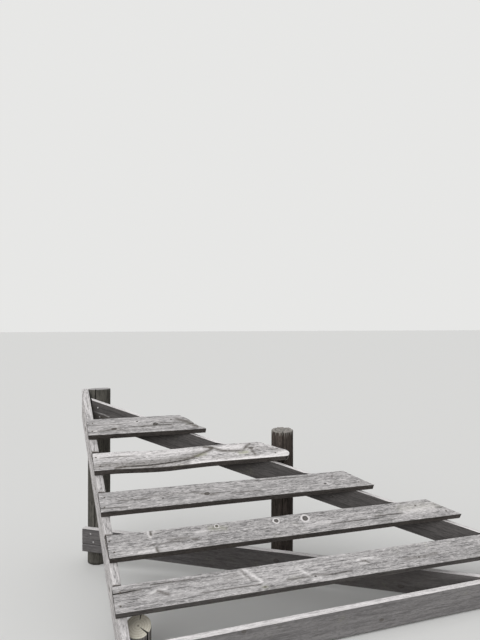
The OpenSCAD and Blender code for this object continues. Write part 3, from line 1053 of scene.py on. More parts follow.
def top_marks(rings, post, frayed, seed):
    """1 where a post shows end grain, and 1 where its top is rough; a frayed rim runs down the side."""
    top = 1 - rings.side
    height = rings.level * post.tall
    splinters = np.maximum(noise_at(seed + 5, rings.turn_x * 15, rings.turn_y * 15), 0)
    rim = smooth_between(height + frayed * splinters, *(post.tall - band for band in RIM_BAND))
    crown = (frayed > 0) * smooth_between(height, *(post.tall - band for band in CROWN_BAND))
    return np.maximum(top, rim), np.maximum(top, crown)


def roughen_top(own, rings, post, crown, rough_top, hollow_top, seed):
    """Lowers the points of a post's top unevenly, never above the solid's peak."""
    top = 1 - rings.side
    bumps = noise_at(seed + 4, own[:, 0] * 90, own[:, 1] * 90)
    own[:, 2] += crown * rough_top * (bumps - 1) - top * SPLIT_SINK * rings.split
    own[:, 2] -= top * hollow_top * np.clip(1 - (rings.reach / post.radius) ** 2, 0, 1)
    own[:, 2] = np.minimum(own[:, 2], post.peak)


trial_rim, _ = top_marks(trial_rings, posts["mid_post"], 0.045, 1)
longest_splinter = (1 - trial_rings.level[trial_rim > 0.5].min()) * posts["mid_post"].tall
print("splinters run down to", round(longest_splinter * 1000), "mm")

# %% Weathered post
def weathered_post(name, post, seed, checks, groove=0.0011, rough_top=0.0015, hollow_top=0.0, worn_rim=1.0,
                   frayed=0.0):
    """A round post of the model with grooves, drying checks and a worn top."""
    rings = PostRings(post, worn_rim)
    rings.dent = groove_dent(rings, groove, seed)
    for check in checks:
        open_check(rings, post.radius, check, seed)
    reach = rings.reach + rings.dent * (rings.reach / post.radius) ** 2
    from_pith = np.stack([reach * rings.turn_x, reach * rings.turn_y], axis=1)
    own = np.column_stack([post.middle[:2] + from_pith, rings.height])
    rim, crown = top_marks(rings, post, frayed, seed)
    roughen_top(own, rings, post, crown, rough_top, hollow_top, seed)
    mesh = bpy.data.meshes.new(name)
    mesh.from_pydata(own.tolist(), [], rings.quads())
    mesh.update()
    paint_marks(mesh, {
        "grain": np.column_stack([own[:, 2], from_pith]) + seed * GRAIN_SHIFT,
        "rings": np.hypot(*(own[:, :2] - post.middle[:2]).T), "end": rim, "crack": rings.split,
        "lee": rings.side * smooth_between(UNSHADED_SIDE[0] * rings.turn_x + UNSHADED_SIDE[1] * rings.turn_y, 0.0, 0.6)})
    mesh.polygons[-1].use_smooth = False
    piece = link_piece(name, mesh)
    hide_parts(post.node)
    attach(piece, "root")
    return piece


pieces_so_far = [piece.name for piece in bpy.context.scene.objects if piece.name.startswith("weathered_")]
print("weathered pieces before the posts:", len(pieces_so_far))

# %% Posts
# angle in radians, half width, depth, lowest and highest place, inner end as a share of the radius
CHECKS_TALL = [(4.4, 0.004, 0.010, 0.2, 1.3, 0.25), (2.1, 0.003, 0.007, 0.0, 0.8, 0.3)]
CHECK_MID = (5.6, 0.003, 0.006, 0.5, 1.1, 0.3)
CHECK_CORNER = (0.6, 0.0035, 0.008, 0.3, 1.3, 0.1)
CHECKS_SHORT = [(5.46, 0.0085, 0.012, 0.02, 0.3, 0.03), (1.31, 0.005, 0.008, 0.05, 0.3, 0.4),
                (3.3, 0.003, 0.006, 0.0, 0.12, 0.5)]
SAWN = {"groove": 0.0004, "rough_top": 0.0006, "worn_rim": 0.4}

corner_post = weathered_post("weathered_corner_post", posts["corner_post"], 131, CHECKS_TALL + [CHECK_CORNER])
mid_post = weathered_post("weathered_mid_post", posts["mid_post"], 137, CHECKS_TALL + [CHECK_MID],
                          groove=0.0020, rough_top=0.0028, hollow_top=0.003, frayed=0.045)
left_foot_post, right_foot_post = (
    weathered_post("weathered_" + node, posts[node], seed, CHECKS_SHORT, **SAWN)
    for node, seed in (("left_foot_post", 139), ("right_foot_post", 149)))
print("posts:", *triangles(corner_post, mid_post, left_foot_post, right_foot_post), "triangles")

# %% [markdown]
# ## Shader building blocks
# The same few effects make every piece of old wood here: fibres, year rings, knots, cracks and
# sawn ends. Each is a node group with named inputs, built once. A small helper keeps the recipes
# readable: it adds a node, sets what is a number, and links what is a socket.

# %% Node helper
class Recipe:
    """One node tree, with a short word for each step that the recipes use."""

    def __init__(self, tree):
        self.tree = tree

    def feed(self, node, into):
        """Fills a node's inputs, by name or number: a socket is linked, anything else is set."""
        for slot, value in into.items():
            if isinstance(value, bpy.types.NodeSocket):
                self.tree.links.new(value, node.inputs[slot])
            else:
                node.inputs[slot].default_value = value

    def put(self, kind, into=None, **settings):
        """Adds a node, sets its properties and fills its inputs."""
        node = self.tree.nodes.new(kind)
        for label, value in settings.items():
            setattr(node, label, value)
        self.feed(node, into or {})
        return node

    def math(self, operation, a, b=0.0):
        return self.put("ShaderNodeMath", {0: a, 1: b}, operation=operation).outputs[0]

    def times(self, a, b):
        return self.math("MULTIPLY", a, b)

    def plus(self, a, b):
        return self.math("ADD", a, b)

    def noise(self, vector, sizes, detail=2.0, rough=0.5, distortion=0.0):
        """Noise on places stretched by three sizes, in waves for each metre."""
        stretched = self.put("ShaderNodeVectorMath", {0: vector, 1: sizes}, operation="MULTIPLY").outputs[0]
        return self.put("ShaderNodeTexNoise", {"Vector": stretched, "Scale": 1.0, "Detail": detail,
                                               "Roughness": rough, "Distortion": distortion}).outputs[0]

    def ramp(self, value, low, high, to_low=0.0, to_high=1.0):
        """A smooth rise or fall of a value between two limits."""
        return self.put("ShaderNodeMapRange", {
            "Value": value, "From Min": low, "From Max": high, "To Min": to_low, "To Max": to_high},
            interpolation_type="SMOOTHSTEP").outputs[0]

    def mix(self, share, first, second):
        return self.put("ShaderNodeMix", {0: share, 6: first, 7: second}, data_type="RGBA").outputs[2]

    def mark(self, label, output="Fac"):
        """A mark that the mesh carries on its points."""
        return self.put("ShaderNodeAttribute", attribute_name=label).outputs[output]

    def group(self, tree, into):
        return self.put("ShaderNodeGroup", into, node_tree=tree).outputs


print("the node helper knows", ", ".join(word for word in vars(Recipe) if not word.startswith("_")))

# %% Empty groups
def new_group(label, inputs, outputs):
    """An empty shader group with named sockets: its recipe, what it is given and its end node."""
    tree = bpy.data.node_groups.new(label, "ShaderNodeTree")
    for name, value in inputs.items():
        kind = "Vector" if value is None else "Color" if isinstance(value, tuple) else "Float"
        socket = tree.interface.new_socket(name=name, in_out="INPUT", socket_type="NodeSocket" + kind)
        if value is not None:
            socket.default_value = value
    for name in outputs:
        kind = "Color" if name == "Color" else "Float"
        tree.interface.new_socket(name=name, in_out="OUTPUT", socket_type="NodeSocket" + kind)
    return Recipe(tree), tree.nodes.new("NodeGroupInput").outputs, tree.nodes.new("NodeGroupOutput")


print("shader groups so far:", len(bpy.data.node_groups))

# %% [markdown]
# ## Effect: silvered fibres
# Old softwood is a bundle of grey fibres. Long broad bands come from the year rings, short dark
# dashes from small checks where dirt sits. Noise stretched a lot along the grain gives both.

# %% Silvered fibres
def make_fibres():
    make, given, stop = new_group(
        "Silvered fibres",
        {"Grain": None, "Pale": (0.5, 0.5, 0.5, 1), "Grey": (0.35, 0.35, 0.35, 1), "Dark": (0.1, 0.1, 0.1, 1),
         "Fleck color": (0.7, 0.7, 0.7, 1), "Dashes": 0.5, "Mottle": 0.5, "Flecks": 0.5, "Fineness": 1.0},
        ["Color", "Height"])
    grain, pale, dark = given["Grain"], given["Pale"], given["Dark"]
    fine_grain = make.put("ShaderNodeVectorMath", {0: grain, "Scale": given["Fineness"]},
                          operation="SCALE").outputs[0]
    bands = make.noise(grain, (1.3, 24, 24), 3, 0.6, 0.5)
    streaks = make.noise(grain, (7, 105, 105), 4, 0.65)
    flecks = make.noise(fine_grain, (24, 124, 124), 3, 0.65)
    specks = make.noise(fine_grain, (42, 150, 150), 2, 0.6)
    fibres = make.noise(grain, (40, 700, 700), 2, 0.6)
    patches = make.noise(grain, (9, 26, 26), 3, 0.6)
    dashes = make.noise(grain, (16, 150, 150), 2, 0.5)
    bright = make.times(make.ramp(flecks, 0.50, 0.66, 0.0, 0.9), given["Flecks"])
    pits = make.times(make.ramp(specks, 0.47, 0.37, 0.0, 0.9), given["Flecks"])
    dash = make.times(make.ramp(dashes, 0.40, 0.31), given["Dashes"])
    body = make.mix(make.ramp(bands, 0.34, 0.64), given["Grey"], pale)
    for share, color in ((make.times(make.ramp(patches, 0.42, 0.72), given["Mottle"]), pale),
                         (make.ramp(streaks, 0.52, 0.36, 0.0, 0.62), dark), (bright, given["Fleck color"]),
                         (pits, dark), (make.ramp(fibres, 0.60, 0.30, 0.0, 0.3), dark), (dash, dark)):
        body = make.mix(share, body, color)
    ridges = make.plus(make.times(streaks, 0.6), make.times(fibres, 0.4))
    holes = make.plus(make.times(dash, 0.5), make.times(pits, 0.3))
    make.feed(stop, {"Color": body, "Height": make.math("SUBTRACT", ridges, holes)})
    return make.tree


fibres_group = make_fibres()
print(fibres_group.name, "has", len(fibres_group.nodes), "nodes")

# %% [markdown]
# ## Effect: knots, cracks, stains and painted shade
# The points of each plank carry the distance to the nearest knot, measured in knot radii. A dark
# heart, a darker ring and a pale halo are then three steps of that one number. Cracks and streaks
# are marks on the points as well.

# %% Knots and marks
KNOT_PITH = (0.16, 0.152, 0.145, 1)
STAIN_AND_SHADE_BROWN = (0.105, 0.094, 0.082, 1)
CRACK_BLACK = (0.012, 0.010, 0.008, 1)


def make_marks():
    make, given, stop = new_group(
        "Knots and marks",
        {"Color": (0.5, 0.5, 0.5, 1), "Grain": None, "Knot": KNOT_REACH, "Crack": 0.0, "Stain and shade": 0.0,
         "Bleach and highlight": 0.0, "Heart": (0.085, 0.078, 0.072, 1), "Halo": (0.6, 0.59, 0.56, 1), "Halo strength": 0.5},
        ["Color", "Height"])
    wobble = make.noise(given["Grain"], (60, 90, 90), 2, 0.5)
    knot = make.plus(given["Knot"], make.times(make.math("SUBTRACT", wobble, 0.5), 0.7))
    halo = make.times(make.ramp(knot, 1.9, 1.4), given["Halo strength"])
    # the bleach mark turns pale: bleached wood on the treads, and a painted highlight along the right
    # stringer's split
    bleach = make.times(given["Bleach and highlight"], make.ramp(wobble, 0.3, 0.6, 0.45, 0.85))
    # the stain mark darkens to brown: dark streaks of grain and dirt, and painted shade in the stringer
    # notches, on the tie plank under the treads and below the right stringer's split
    stain = make.times(given["Stain and shade"], make.ramp(wobble, 0.25, 0.6, 0.7, 1.0))
    body = given["Color"]
    for share, color in ((halo, given["Halo"]), (bleach, given["Halo"]),
                         (make.ramp(knot, 1.25, 0.85), given["Heart"]),
                         (make.ramp(knot, 0.8, 0.5, 0.0, 0.6), KNOT_PITH), (stain, STAIN_AND_SHADE_BROWN),
                         (make.ramp(given["Crack"], 0.02, 0.4, 0.0, 0.97), CRACK_BLACK)):
        body = make.mix(share, body, color)
    make.feed(stop, {"Color": body, "Height": make.ramp(knot, 1.2, 0.7, 0.0, 0.6)})
    return make.tree


marks_group = make_marks()
print(marks_group.name, "has", len(marks_group.nodes), "nodes")

# %% [markdown]
# ## Effect: sawn end grain
# At an end the fibres are seen end on: fine arcs of year rings, darker and rougher than the faces,
# because the open ends soak up rain. On a round post the arcs close to rings.

# %% End grain
def make_end_grain():
    make, given, stop = new_group(
        "Sawn end grain",
        {"Color": (0.5, 0.5, 0.5, 1), "Radius": 0.0, "Grain": None, "End": 0.0, "Ring width": 0.004,
         "Spring wood": (0.3, 0.28, 0.26, 1), "Summer wood": (0.15, 0.13, 0.11, 1)},
        ["Color", "Height"])
    spring, summer = given["Spring wood"], given["Summer wood"]
    wander = make.noise(given["Grain"], (0, 30, 30), 2, 0.5)
    count = make.plus(make.math("DIVIDE", given["Radius"], given["Ring width"]), make.times(wander, 1.6))
    ring = make.math("POWER", make.math("FRACT", count), 2.5)
    band = make.math("POWER", make.math("FRACT", make.times(count, 0.36)), 2.0)
    ring = make.times(make.plus(ring, band), 0.5)
    specks = make.noise(given["Grain"], (60, 420, 420), 2, 0.6)
    face = make.mix(make.ramp(specks, 0.55, 0.3, 0.0, 0.5), make.mix(ring, spring, summer), summer)
    make.feed(stop, {"Color": make.mix(given["End"], given["Color"], face),
                     "Height": make.times(ring, given["End"])})
    return make.tree


end_group = make_end_grain()
print(end_group.name, "has", len(end_group.nodes), "nodes")

# %% [markdown]
# ## Effect: lichen
# A thin yellow-green film and small pale spots grow where the wood stays damp.

# %% Lichen
LICHEN_GREEN = (0.36, 0.37, 0.22, 1)


def make_lichen():
    make, given, stop = new_group(
        "Lichen film", {"Color": (0.5, 0.5, 0.5, 1), "Amount": 0.2, "Patch": 0.0}, ["Color"])
    place = make.put("ShaderNodeTexCoord").outputs["Object"]
    cloud = make.noise(place, (7, 7, 7), 3, 0.6)
    spots = make.noise(place, (95, 95, 95), 2, 0.5)
    film = make.times(make.times(make.ramp(cloud, 0.58, 0.74), make.ramp(spots, 0.42, 0.62)), given["Amount"])
    patch = make.times(given["Patch"], make.ramp(spots, 0.35, 0.55, 0.3, 1.0))
    make.feed(stop, {"Color": make.mix(make.math("MAXIMUM", film, patch), given["Color"], LICHEN_GREEN)})
    return make.tree


lichen_group = make_lichen()
print(lichen_group.name, "has", len(lichen_group.nodes), "nodes")

# %% [markdown]
# ## Greys of old wood
# Bare wood has no colour of its own left, only greys with a trace of warmth. They are written as
# they look on screen, which is how they are read off a picture, and turned into linear light. The
# Principled shader is rough and dull, because bare old wood has no sheen at all.

# %% Greys
def grey(level, red=0.035, blue=-0.003):
    """A grey as it should look on screen, 0 to 255, with a little more or less red and blue."""
    share = level / 255
    linear = share / 12.92 if share <= 0.04045 else ((share + 0.055) / 1.055) ** 2.4
    return (linear * (1 + red), linear, linear * (1 + blue), 1)


print("a grey of 128 on screen is", np.round(grey(128)[:3], 3), "in linear light")

# %% Bare wood
WOOD_ROUGHNESS = 0.88
WOOD_SPECULAR = 0.25
WOOD_BUMP = 0.6


def new_material(name):
    """A new material and the recipe that fills it."""
    material = bpy.data.materials.new(name)
    material.use_nodes = True
    return material, Recipe(material.node_tree)


def finish_wood(make, color, height, bump):
    """Feeds a material's own shader with its wood, its fibres as a fine bump."""
    bumped = make.put("ShaderNodeBump", {"Height": height, "Strength": WOOD_BUMP, "Distance": bump}).outputs[0]
    make.feed(make.tree.nodes["Principled BSDF"], {
        "Base Color": color, "Normal": bumped, "Roughness": WOOD_ROUGHNESS,
        "Specular IOR Level": WOOD_SPECULAR})


def dress(piece, material):
    """Gives a piece its only material."""
    piece.data.materials.clear()
    piece.data.materials.append(material)


print("bare wood: roughness", WOOD_ROUGHNESS, "and specular level", WOOD_SPECULAR)

# %% [markdown]
# ## The wood of the planks
# One recipe serves all planks, with its own greys for each: the treads are silver, the second one
# bleached almost white, the shaded boards darker. A top face shows the lit greys. Sides that face
# the camera get darker greys as painted shade, and those on the unshaded side lie between.

# %% Wood on the faces
UNSHADED_GREY = 150
UNSHADED_TINT = (0.06, -0.04)
WARM = (0.12, -0.06)


def plank_fibres(make, greys, amounts, warm, shade_depth):
    """The fibres of a plank in its lit greys, its side greys with painted shade, and its unshaded greys."""
    pale, mid, dark, side = greys
    dashes, mottle, flecks, fineness = amounts
    # sky is 1 on faces turned up, which get the lit greys; all other faces get the darker side greys as painted
    # shade
    sky, unshaded = make.mark("sky"), make.mark("lee")
    tones = {"Pale": (pale, 1.12), "Grey": (mid, 0.96), "Dark": (dark, shade_depth),
             "Fleck color": (min(pale * 1.25, 244), 1.25)}
    into = {"Grain": make.mark("grain", "Vector"), "Dashes": dashes, "Mottle": mottle, "Flecks": flecks,
            "Fineness": fineness}
    for tone, (lit, part) in tones.items():
        shaded = make.mix(unshaded, grey(side * part, *warm), grey(UNSHADED_GREY * part, *UNSHADED_TINT))
        into[tone] = make.mix(sky, shaded, grey(lit))
    return make.group(fibres_group, into)


print("the sheltered side has a grey of", UNSHADED_GREY, "on screen")

# %% Wood at the ends
END_TINT = (0.1, -0.05)
ARC_WIDEN = 0.6
HEART_BELOW = 0.06


def ring_arcs(make, grain):
    """Distance from the heart of the tree, a little below the board, so the rings are wide arcs."""
    split = make.put("ShaderNodeSeparateXYZ", {0: grain}).outputs
    beside, below = make.times(split[1], ARC_WIDEN), make.plus(split[2], HEART_BELOW)
    from_heart = make.put("ShaderNodeCombineXYZ", {0: beside, 1: below}).outputs[0]
    return make.put("ShaderNodeVectorMath", {0: from_heart}, operation="LENGTH").outputs["Value"]


def plank_ends(make, color, side, end_part):
    """Sawn end grain over the wood of a plank."""
    grain, unshaded = make.mark("grain", "Vector"), make.mark("lee")
    spring, summer = (make.mix(unshaded, grey(near, *END_TINT), grey(far, *END_TINT)) for near, far in (
        (side * end_part, UNSHADED_GREY * 1.1), (side * end_part * 0.61, UNSHADED_GREY * 0.7)))
    return make.group(end_group, {"Color": color, "Radius": ring_arcs(make, grain), "Grain": grain,
                                  "End": make.mark("end"), "Spring wood": spring, "Summer wood": summer})


print("the heart of each tree lies", HEART_BELOW * 1000, "mm under its board")

# %% Plank recipe
PLANK_BUMP = 0.0016


def plank_wood(name, greys, amounts, halo=0.0, lichen=0.2, warm=WARM, heart=72, shade_depth=0.62,
               end_part=1.15):
    """The material of one plank."""
    material, make = new_material(name)
    fibres = plank_fibres(make, greys, amounts, warm, shade_depth)
    marks = make.group(marks_group, {
        "Color": fibres["Color"], "Grain": make.mark("grain", "Vector"), "Knot": make.mark("knot"),
        "Crack": make.mark("crack"), "Stain and shade": make.mark("stain"), "Bleach and highlight": make.mark("bleach"),
        "Halo": grey(min(greys[0] * 1.16, 238)), "Halo strength": halo, "Heart": grey(heart, 0.08, -0.06)})
    ends = plank_ends(make, marks["Color"], greys[3], end_part)
    film = make.group(lichen_group, {"Color": ends["Color"], "Amount": lichen, "Patch": make.mark("green")})
    height = make.plus(make.plus(fibres["Height"], marks["Height"]), ends["Height"])
    finish_wood(make, film["Color"], height, PLANK_BUMP)
    return material


print("materials before the first wood:", [material.name for material in bpy.data.materials])

# %% Wood of the treads
# greys of pale, middle and dark wood and of the shaded sides; amounts of dashes, mottle, flecks, and fineness
TREAD_WOODS = {
    "tread_1": ((188, 156, 78, 82), (0.7, 0.5, 0.6, 1.0), {}),
    "tread_2": ((214, 184, 96, 92), (0.4, 0.8, 0.8, 1.0), {"lichen": 0.4, "heart": 110}),
    "tread_3": ((184, 156, 82, 84), (0.7, 0.3, 0.6, 1.15), {}),
    "tread_4": ((188, 156, 78, 84), (0.7, 0.5, 0.6, 1.35), {"halo": 0.9}),
    "tread_5": ((196, 154, 80, 102), (0.7, 0.4, 0.45, 1.5), {"warm": (0.06, -0.03)}),
}
# an end_part of 0.7 darkens the treads' end grain further, painted shade at their cut ends
for node, (greys, amounts, special) in TREAD_WOODS.items():
    finish = {"halo": 0.2, "lichen": 0.15, "heart": 76, "end_part": 0.7, **special}
    dress(treads[node], plank_wood(f"{node}_wood", greys, amounts, **finish))
print("tread materials:", [piece.data.materials[0].name for piece in treads.values()])

# %% Wood of the other planks
dress(left_stringer, plank_wood("left_stringer_wood", (218, 194, 112, 206), (0.4, 0.75, 0.7, 1.0), halo=0.2,
                                warm=(0.035, 0.0), heart=150))
dress(right_stringer, plank_wood("right_stringer_wood", (244, 224, 160, 90), (0.4, 0.3, 0.4, 1.0),
                                 warm=(0.07, -0.02), heart=72, shade_depth=0.72))
dress(front_board, plank_wood("front_board_wood", (240, 220, 160, 136), (0.3, 0.4, 0.4, 1.0),
                              warm=(0.035, 0.01), heart=108, shade_depth=0.78))
dress(tie_plank, plank_wood("tie_plank_wood", (240, 220, 160, 108), (0.4, 0.3, 0.4, 1.0),
                            warm=(0.05, 0.01), heart=80, shade_depth=0.72))
print("wood materials so far:", len([m for m in bpy.data.materials if m.name.endswith("_wood")]))

# %% [markdown]
# ## The wood of the posts
# The tall posts are dark brown-grey with grooves that catch dirt. The short foot posts have newer,
# cream tops, where the saw went through the pith.

# %% Post recipe
POST_BUMP = 0.002
PITH_BROWN = (0.10, 0.08, 0.055, 1)
CHECK_BLACK = (0.014, 0.011, 0.009, 1)


def post_wood(name, greys, tint, spring, summer, ring_width=0.0042):
    """The material of one post: its side in three greys, partly its own dark wood and partly painted shade
    towards the front, lighter on the far side, and its top in spring and summer wood.
    """
    pale, mid, dark = greys
    material, make = new_material(name)
    grain, (unshaded, rings, end) = make.mark("grain", "Vector"), map(make.mark, ("lee", "rings", "end"))
    tones = {"Pale": (pale, 150), "Grey": (mid, 124), "Dark": (dark, 74), "Fleck color": (pale * 1.2, 168)}
    fibres = make.group(fibres_group, {"Grain": grain, "Dashes": 0.7, "Mottle": 0.3, "Flecks": 0.4, **{
        tone: make.mix(unshaded, grey(front, *tint), grey(max(front, lee), 0.06, -0.06))
        for tone, (front, lee) in tones.items()}})
    ends = make.group(end_group, {"Color": fibres["Color"], "Radius": rings, "Grain": grain, "End": end,
                                  "Ring width": ring_width, "Spring wood": spring, "Summer wood": summer})
    pith = make.times(make.ramp(rings, 0.006, 0.002, 0.0, 0.85), end)
    body = make.mix(pith, ends["Color"], PITH_BROWN)
    body = make.mix(make.ramp(make.mark("crack"), 0.15, 0.6, 0.0, 0.95), body, CHECK_BLACK)
    finish_wood(make, body, make.plus(fibres["Height"], ends["Height"]), POST_BUMP)
    return material


dress(corner_post, post_wood("corner_post_wood", (104, 84, 50), (0.05, -0.12), grey(176), grey(130)))
dress(mid_post, post_wood("mid_post_wood", (82, 58, 32), (0.22, -0.12), grey(158, 0.06, -0.07),
                          grey(52, 0.08, -0.08), 0.011))
for name, piece in (("left_foot_post", left_foot_post), ("right_foot_post", right_foot_post)):
    dress(piece, post_wood(name + "_wood", (170, 140, 92), (0.06, -0.05), grey(250, 0.035, -0.11),
                           grey(190, 0.12, -0.26), 0.0045))
print("wood materials in all:", len([m for m in bpy.data.materials if m.name.endswith("_wood")]))

# %% [markdown]
# ## Nails
# Round nail heads hold every tread to both stringers and the stringers to the posts. They are all
# alike, so a Geometry Nodes tree sets one domed head on each point, turned to the face it was
# driven into, and turns each a little by a fixed seed. Only the places are listed.

# %% Nails of the treads
NAIL_ACROSS = (0.25, 0.74)
NAIL_STAGGER = 0.006
NAIL_SINK = 0.0009
RUSTY = 0.9
nail_points, nail_facings, nail_rust = [], [], []


def drive_nail(place, facing, rust=0.0):
    """Notes a nail's place, a little sunk, its direction and its rust."""
    facing = np.asarray(facing) / np.linalg.norm(facing)
    nail_points.append(np.asarray(place) - facing * NAIL_SINK)
    nail_facings.append(facing)
    nail_rust.append(rust)


def over_carrier(plank, carrier, share):
    """The left end of a plank's face at a share of its width, and how far along it its carrier lies."""
    spot = plank.to_world([0, plank.width * share, plank.thick])
    inner = carrier.to_world([0, 0, carrier.thick / 2])
    return spot, np.dot(inner - spot, carrier.face) / np.dot(plank.along, carrier.face)


for number in range(1, 6):
    plank = planks[f"tread_{number}"]
    for carrier in (left_plank, right_plank):
        for n, share in enumerate(NAIL_ACROSS):
            spot, slide = over_carrier(plank, carrier, share)
            place = spot + plank.along * (slide + NAIL_STAGGER * (-1) ** (n + number))
            place = place + plank.face * plank.hang(plank.to_own(place)[0])
            drive_nail(place, plank.face, rust=RUSTY)
print(len(nail_points), "nails in the treads")

# %% Nails of the other planks
RIGHT_STRINGER_NAILS = ((97.8, 407.7), (99.7, 416.8), (160.0, 430.2))
TIE_NAILS = ((93.3, 542.4), (90.5, 534.0))
FROM_TOP_END, PROUD = 0.10, 0.0006
FROM_BOARD_ENDS = (0.03, 0.045)

for plank, pixels in ((right_plank, RIGHT_STRINGER_NAILS), (tie, TIE_NAILS)):
    on_face = plank.to_world([0, 0, plank.thick])
    for u, v in pixels:
        drive_nail(seen_at(u, v, on_face, plank.face), plank.face)
for share in (0.25, 0.75):
    spot = left_plank.to_world([left_plank.length - FROM_TOP_END, left_plank.width * share, PROUD])
    drive_nail(spot, -left_plank.face)
for carrier in (left_plank, right_plank):
    for share in (0.2, 0.5, 0.8):
        spot, slide = over_carrier(board, carrier, share)
        slide = np.clip(slide, FROM_BOARD_ENDS[0], board.length - FROM_BOARD_ENDS[1])
        drive_nail(spot + board.along * slide, board.face)
print(len(nail_points), "nails in all")

# %% Nail tree
TILT = (0.07, 0.07, 3.0)


def make_nail_tree():
    tree = bpy.data.node_groups.new("Driven nails", "GeometryNodeTree")
    for label, kind, direction in (("Points", "Geometry", "INPUT"), ("Head width", "Float", "INPUT"),
                                   ("Head rise", "Float", "INPUT"), ("Seed", "Int", "INPUT"),
                                   ("Steel", "Material", "INPUT"), ("Nails", "Geometry", "OUTPUT")):
        tree.interface.new_socket(name=label, in_out=direction, socket_type="NodeSocket" + kind)
    make = Recipe(tree)
    given, stop = make.put("NodeGroupInput").outputs, make.put("NodeGroupOutput")
    ball = make.put("GeometryNodeMeshUVSphere", {"Segments": 14, "Rings": 8, "Radius": 0.5})
    size = make.put("ShaderNodeCombineXYZ", {0: given["Head width"], 1: given["Head width"],
                                             2: make.times(given["Head rise"], 2.0)})
    head = make.put("GeometryNodeTransform", {"Geometry": ball.outputs["Mesh"], "Scale": size.outputs[0]})
    facing = make.put("GeometryNodeInputNamedAttribute", {"Name": "facing"}, data_type="FLOAT_VECTOR")
    aim = make.put("FunctionNodeAlignRotationToVector", {"Vector": facing.outputs[0]}, axis="Z")
    tilt = make.put("FunctionNodeRandomValue", {0: tuple(-t for t in TILT), 1: TILT, "Seed": given["Seed"]},
                    data_type="FLOAT_VECTOR")
    loose = make.put("FunctionNodeEulerToRotation", {0: tilt.outputs[0]})
    turned = make.put("FunctionNodeRotateRotation", {0: aim.outputs[0], 1: loose.outputs[0]},
                      rotation_space="LOCAL")
    set_on = make.put("GeometryNodeInstanceOnPoints", {"Points": given["Points"], "Instance": head.outputs[0],
                                                       "Rotation": turned.outputs[0]})
    real = make.put("GeometryNodeRealizeInstances", {0: set_on.outputs[0]})
    coated = make.put("GeometryNodeSetMaterial", {"Geometry": real.outputs[0], "Material": given["Steel"]})
    make.feed(stop, {0: coated.outputs[0]})
    return tree


nail_tree = make_nail_tree()
print(nail_tree.name, "takes", [item.name for item in nail_tree.interface.items_tree if item.in_out == "INPUT"])

# %% Nail steel
STEEL_ROUGHNESS = 0.75
STEEL_METALLIC = 0.3
ZINC_BUMP, ZINC_BUMP_HEIGHT = 0.4, 0.0004


def nail_steel():
    """Zinc-coated steel, which turns brown where a nail carries rust."""
    material, make = new_material("nail_steel")
    rust = make.noise(make.put("ShaderNodeTexCoord").outputs["Object"], (420, 420, 420), 3, 0.6)
    patches = make.ramp(rust, 0.35, 0.65)
    zinc = make.mix(patches, grey(232, 0.0, 0.0), grey(170, 0.05, 0.0))
    brown = make.mix(patches, grey(92, 0.2, -0.2), grey(58, 0.3, -0.3))
    bumped = make.put("ShaderNodeBump", {
        "Height": rust, "Strength": ZINC_BUMP, "Distance": ZINC_BUMP_HEIGHT}).outputs[0]
    make.feed(make.tree.nodes["Principled BSDF"], {
        "Base Color": make.mix(make.mark("rust"), zinc, brown), "Normal": bumped,
        "Roughness": STEEL_ROUGHNESS, "Metallic": STEEL_METALLIC})
    return material


steel = nail_steel()
print("nail material:", steel.name)

# %% Driven nails
HEAD_WIDTH = 0.0105
HEAD_RISE = 0.0016
NAIL_SEED = 5

nail_mesh = bpy.data.meshes.new("nails")
nail_mesh.from_pydata([tuple(point) for point in nail_points], [], [])
paint_marks(nail_mesh, {"facing": nail_facings, "rust": nail_rust})
nails = link_piece("nails", nail_mesh)
driven = nails.modifiers.new("Driven nails", "NODES")
driven.node_group = nail_tree
sockets = {item.name: item.identifier for item in nail_tree.interface.items_tree if item.in_out == "INPUT"}
nail_inputs = {"Head width": HEAD_WIDTH, "Head rise": HEAD_RISE, "Seed": NAIL_SEED, "Steel": steel}
for label, value in nail_inputs.items():
    driven[sockets[label]] = value
real_nails = evaluated_mesh(nails)
nails.modifiers.remove(driven)
nails.data = real_nails
real_nails.polygons.foreach_set("use_smooth", np.ones(len(real_nails.polygons), dtype=bool))
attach(nails, "root")
print("nails:", len(real_nails.polygons), "faces, materials", [m and m.name for m in real_nails.materials])

# %% [markdown]
# ## Light, floor and background
# The picture was taken under a bright, hazy sky that stands brighter on the left. The world is a
# sky that grows brighter upwards, and one large soft lamp stands on the left. The floor and the
# background show the same pale grey to the camera, and the floor sends little light back up, so
# the undersides stay dark.

# %% Hazy sky
BACKDROP = (0.80, 0.80, 0.79, 1)
SKY_LEVEL = 0.68
SKY_LOW, SKY_HIGH = 0.429, 1.286

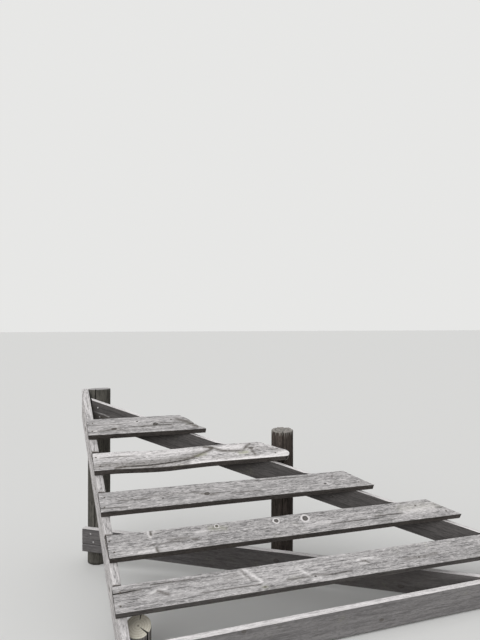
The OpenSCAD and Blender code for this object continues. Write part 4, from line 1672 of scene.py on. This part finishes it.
world = bpy.data.worlds.new("hazy sky")
bpy.context.scene.world = world
world.use_nodes = True
world.node_tree.nodes.clear()
sky = Recipe(world.node_tree)
direction = sky.put("ShaderNodeTexCoord").outputs["Generated"]
height = sky.put("ShaderNodeSeparateXYZ", {0: direction}).outputs[2]
lift = sky.put("ShaderNodeMapRange", {"Value": height, "From Min": 0.0, "From Max": 1.0, "To Min": SKY_LOW,
                                      "To Max": SKY_HIGH}).outputs[0]
level = sky.times(sky.times(lift, sky.ramp(height, -0.05, 0.05)), SKY_LEVEL)
to_camera = sky.put("ShaderNodeLightPath").outputs["Is Camera Ray"]
background = sky.put("ShaderNodeBackground", {"Color": sky.mix(to_camera, level, BACKDROP)})
sky.put("ShaderNodeOutputWorld", {0: background.outputs[0]})
print("the sky has", len(world.node_tree.nodes), "nodes")

# %% Soft sun
SUN_LEVEL = 0.36
SUN_SPREAD = math.radians(70)
SUN_FROM = Vector((-0.54, -0.52, 0.66)).normalized()

sun_data = bpy.data.lights.new("soft sun", "SUN")
sun_data.energy = SUN_LEVEL * math.pi / SUN_FROM.z
sun_data.angle = SUN_SPREAD
sun = bpy.data.objects.new("soft sun", sun_data)
bpy.context.scene.collection.objects.link(sun)
sun.rotation_euler = (-SUN_FROM).to_track_quat("-Z", "Y").to_euler()
print("the sun has", round(sun_data.energy, 2), "watts on each square metre")

# %% Floor
FLOOR_HALF = 60.0
FLOOR_PALE = (0.66, 0.66, 0.65, 1)
FLOOR_BOUNCE = (0.18, 0.17, 0.15, 1)

floor_mesh = bpy.data.meshes.new("floor")
floor_mesh.from_pydata([(x * FLOOR_HALF, y * FLOOR_HALF, 0) for x, y in ((-1, -1), (1, -1), (1, 1), (-1, 1))],
                       [], [(0, 1, 2, 3)])
floor = link_piece("floor", floor_mesh)
paper, make = new_material("pale floor")
seen = make.put("ShaderNodeLightPath").outputs["Is Camera Ray"]
make.feed(paper.node_tree.nodes["Principled BSDF"], {
    "Base Color": make.mix(seen, FLOOR_BOUNCE, FLOOR_PALE), "Roughness": 1.0, "Specular IOR Level": 0.0})
floor_mesh.materials.append(paper)
bpy.context.scene.view_settings.view_transform = "Standard"
print("the floor is", 2 * FLOOR_HALF, "m wide")
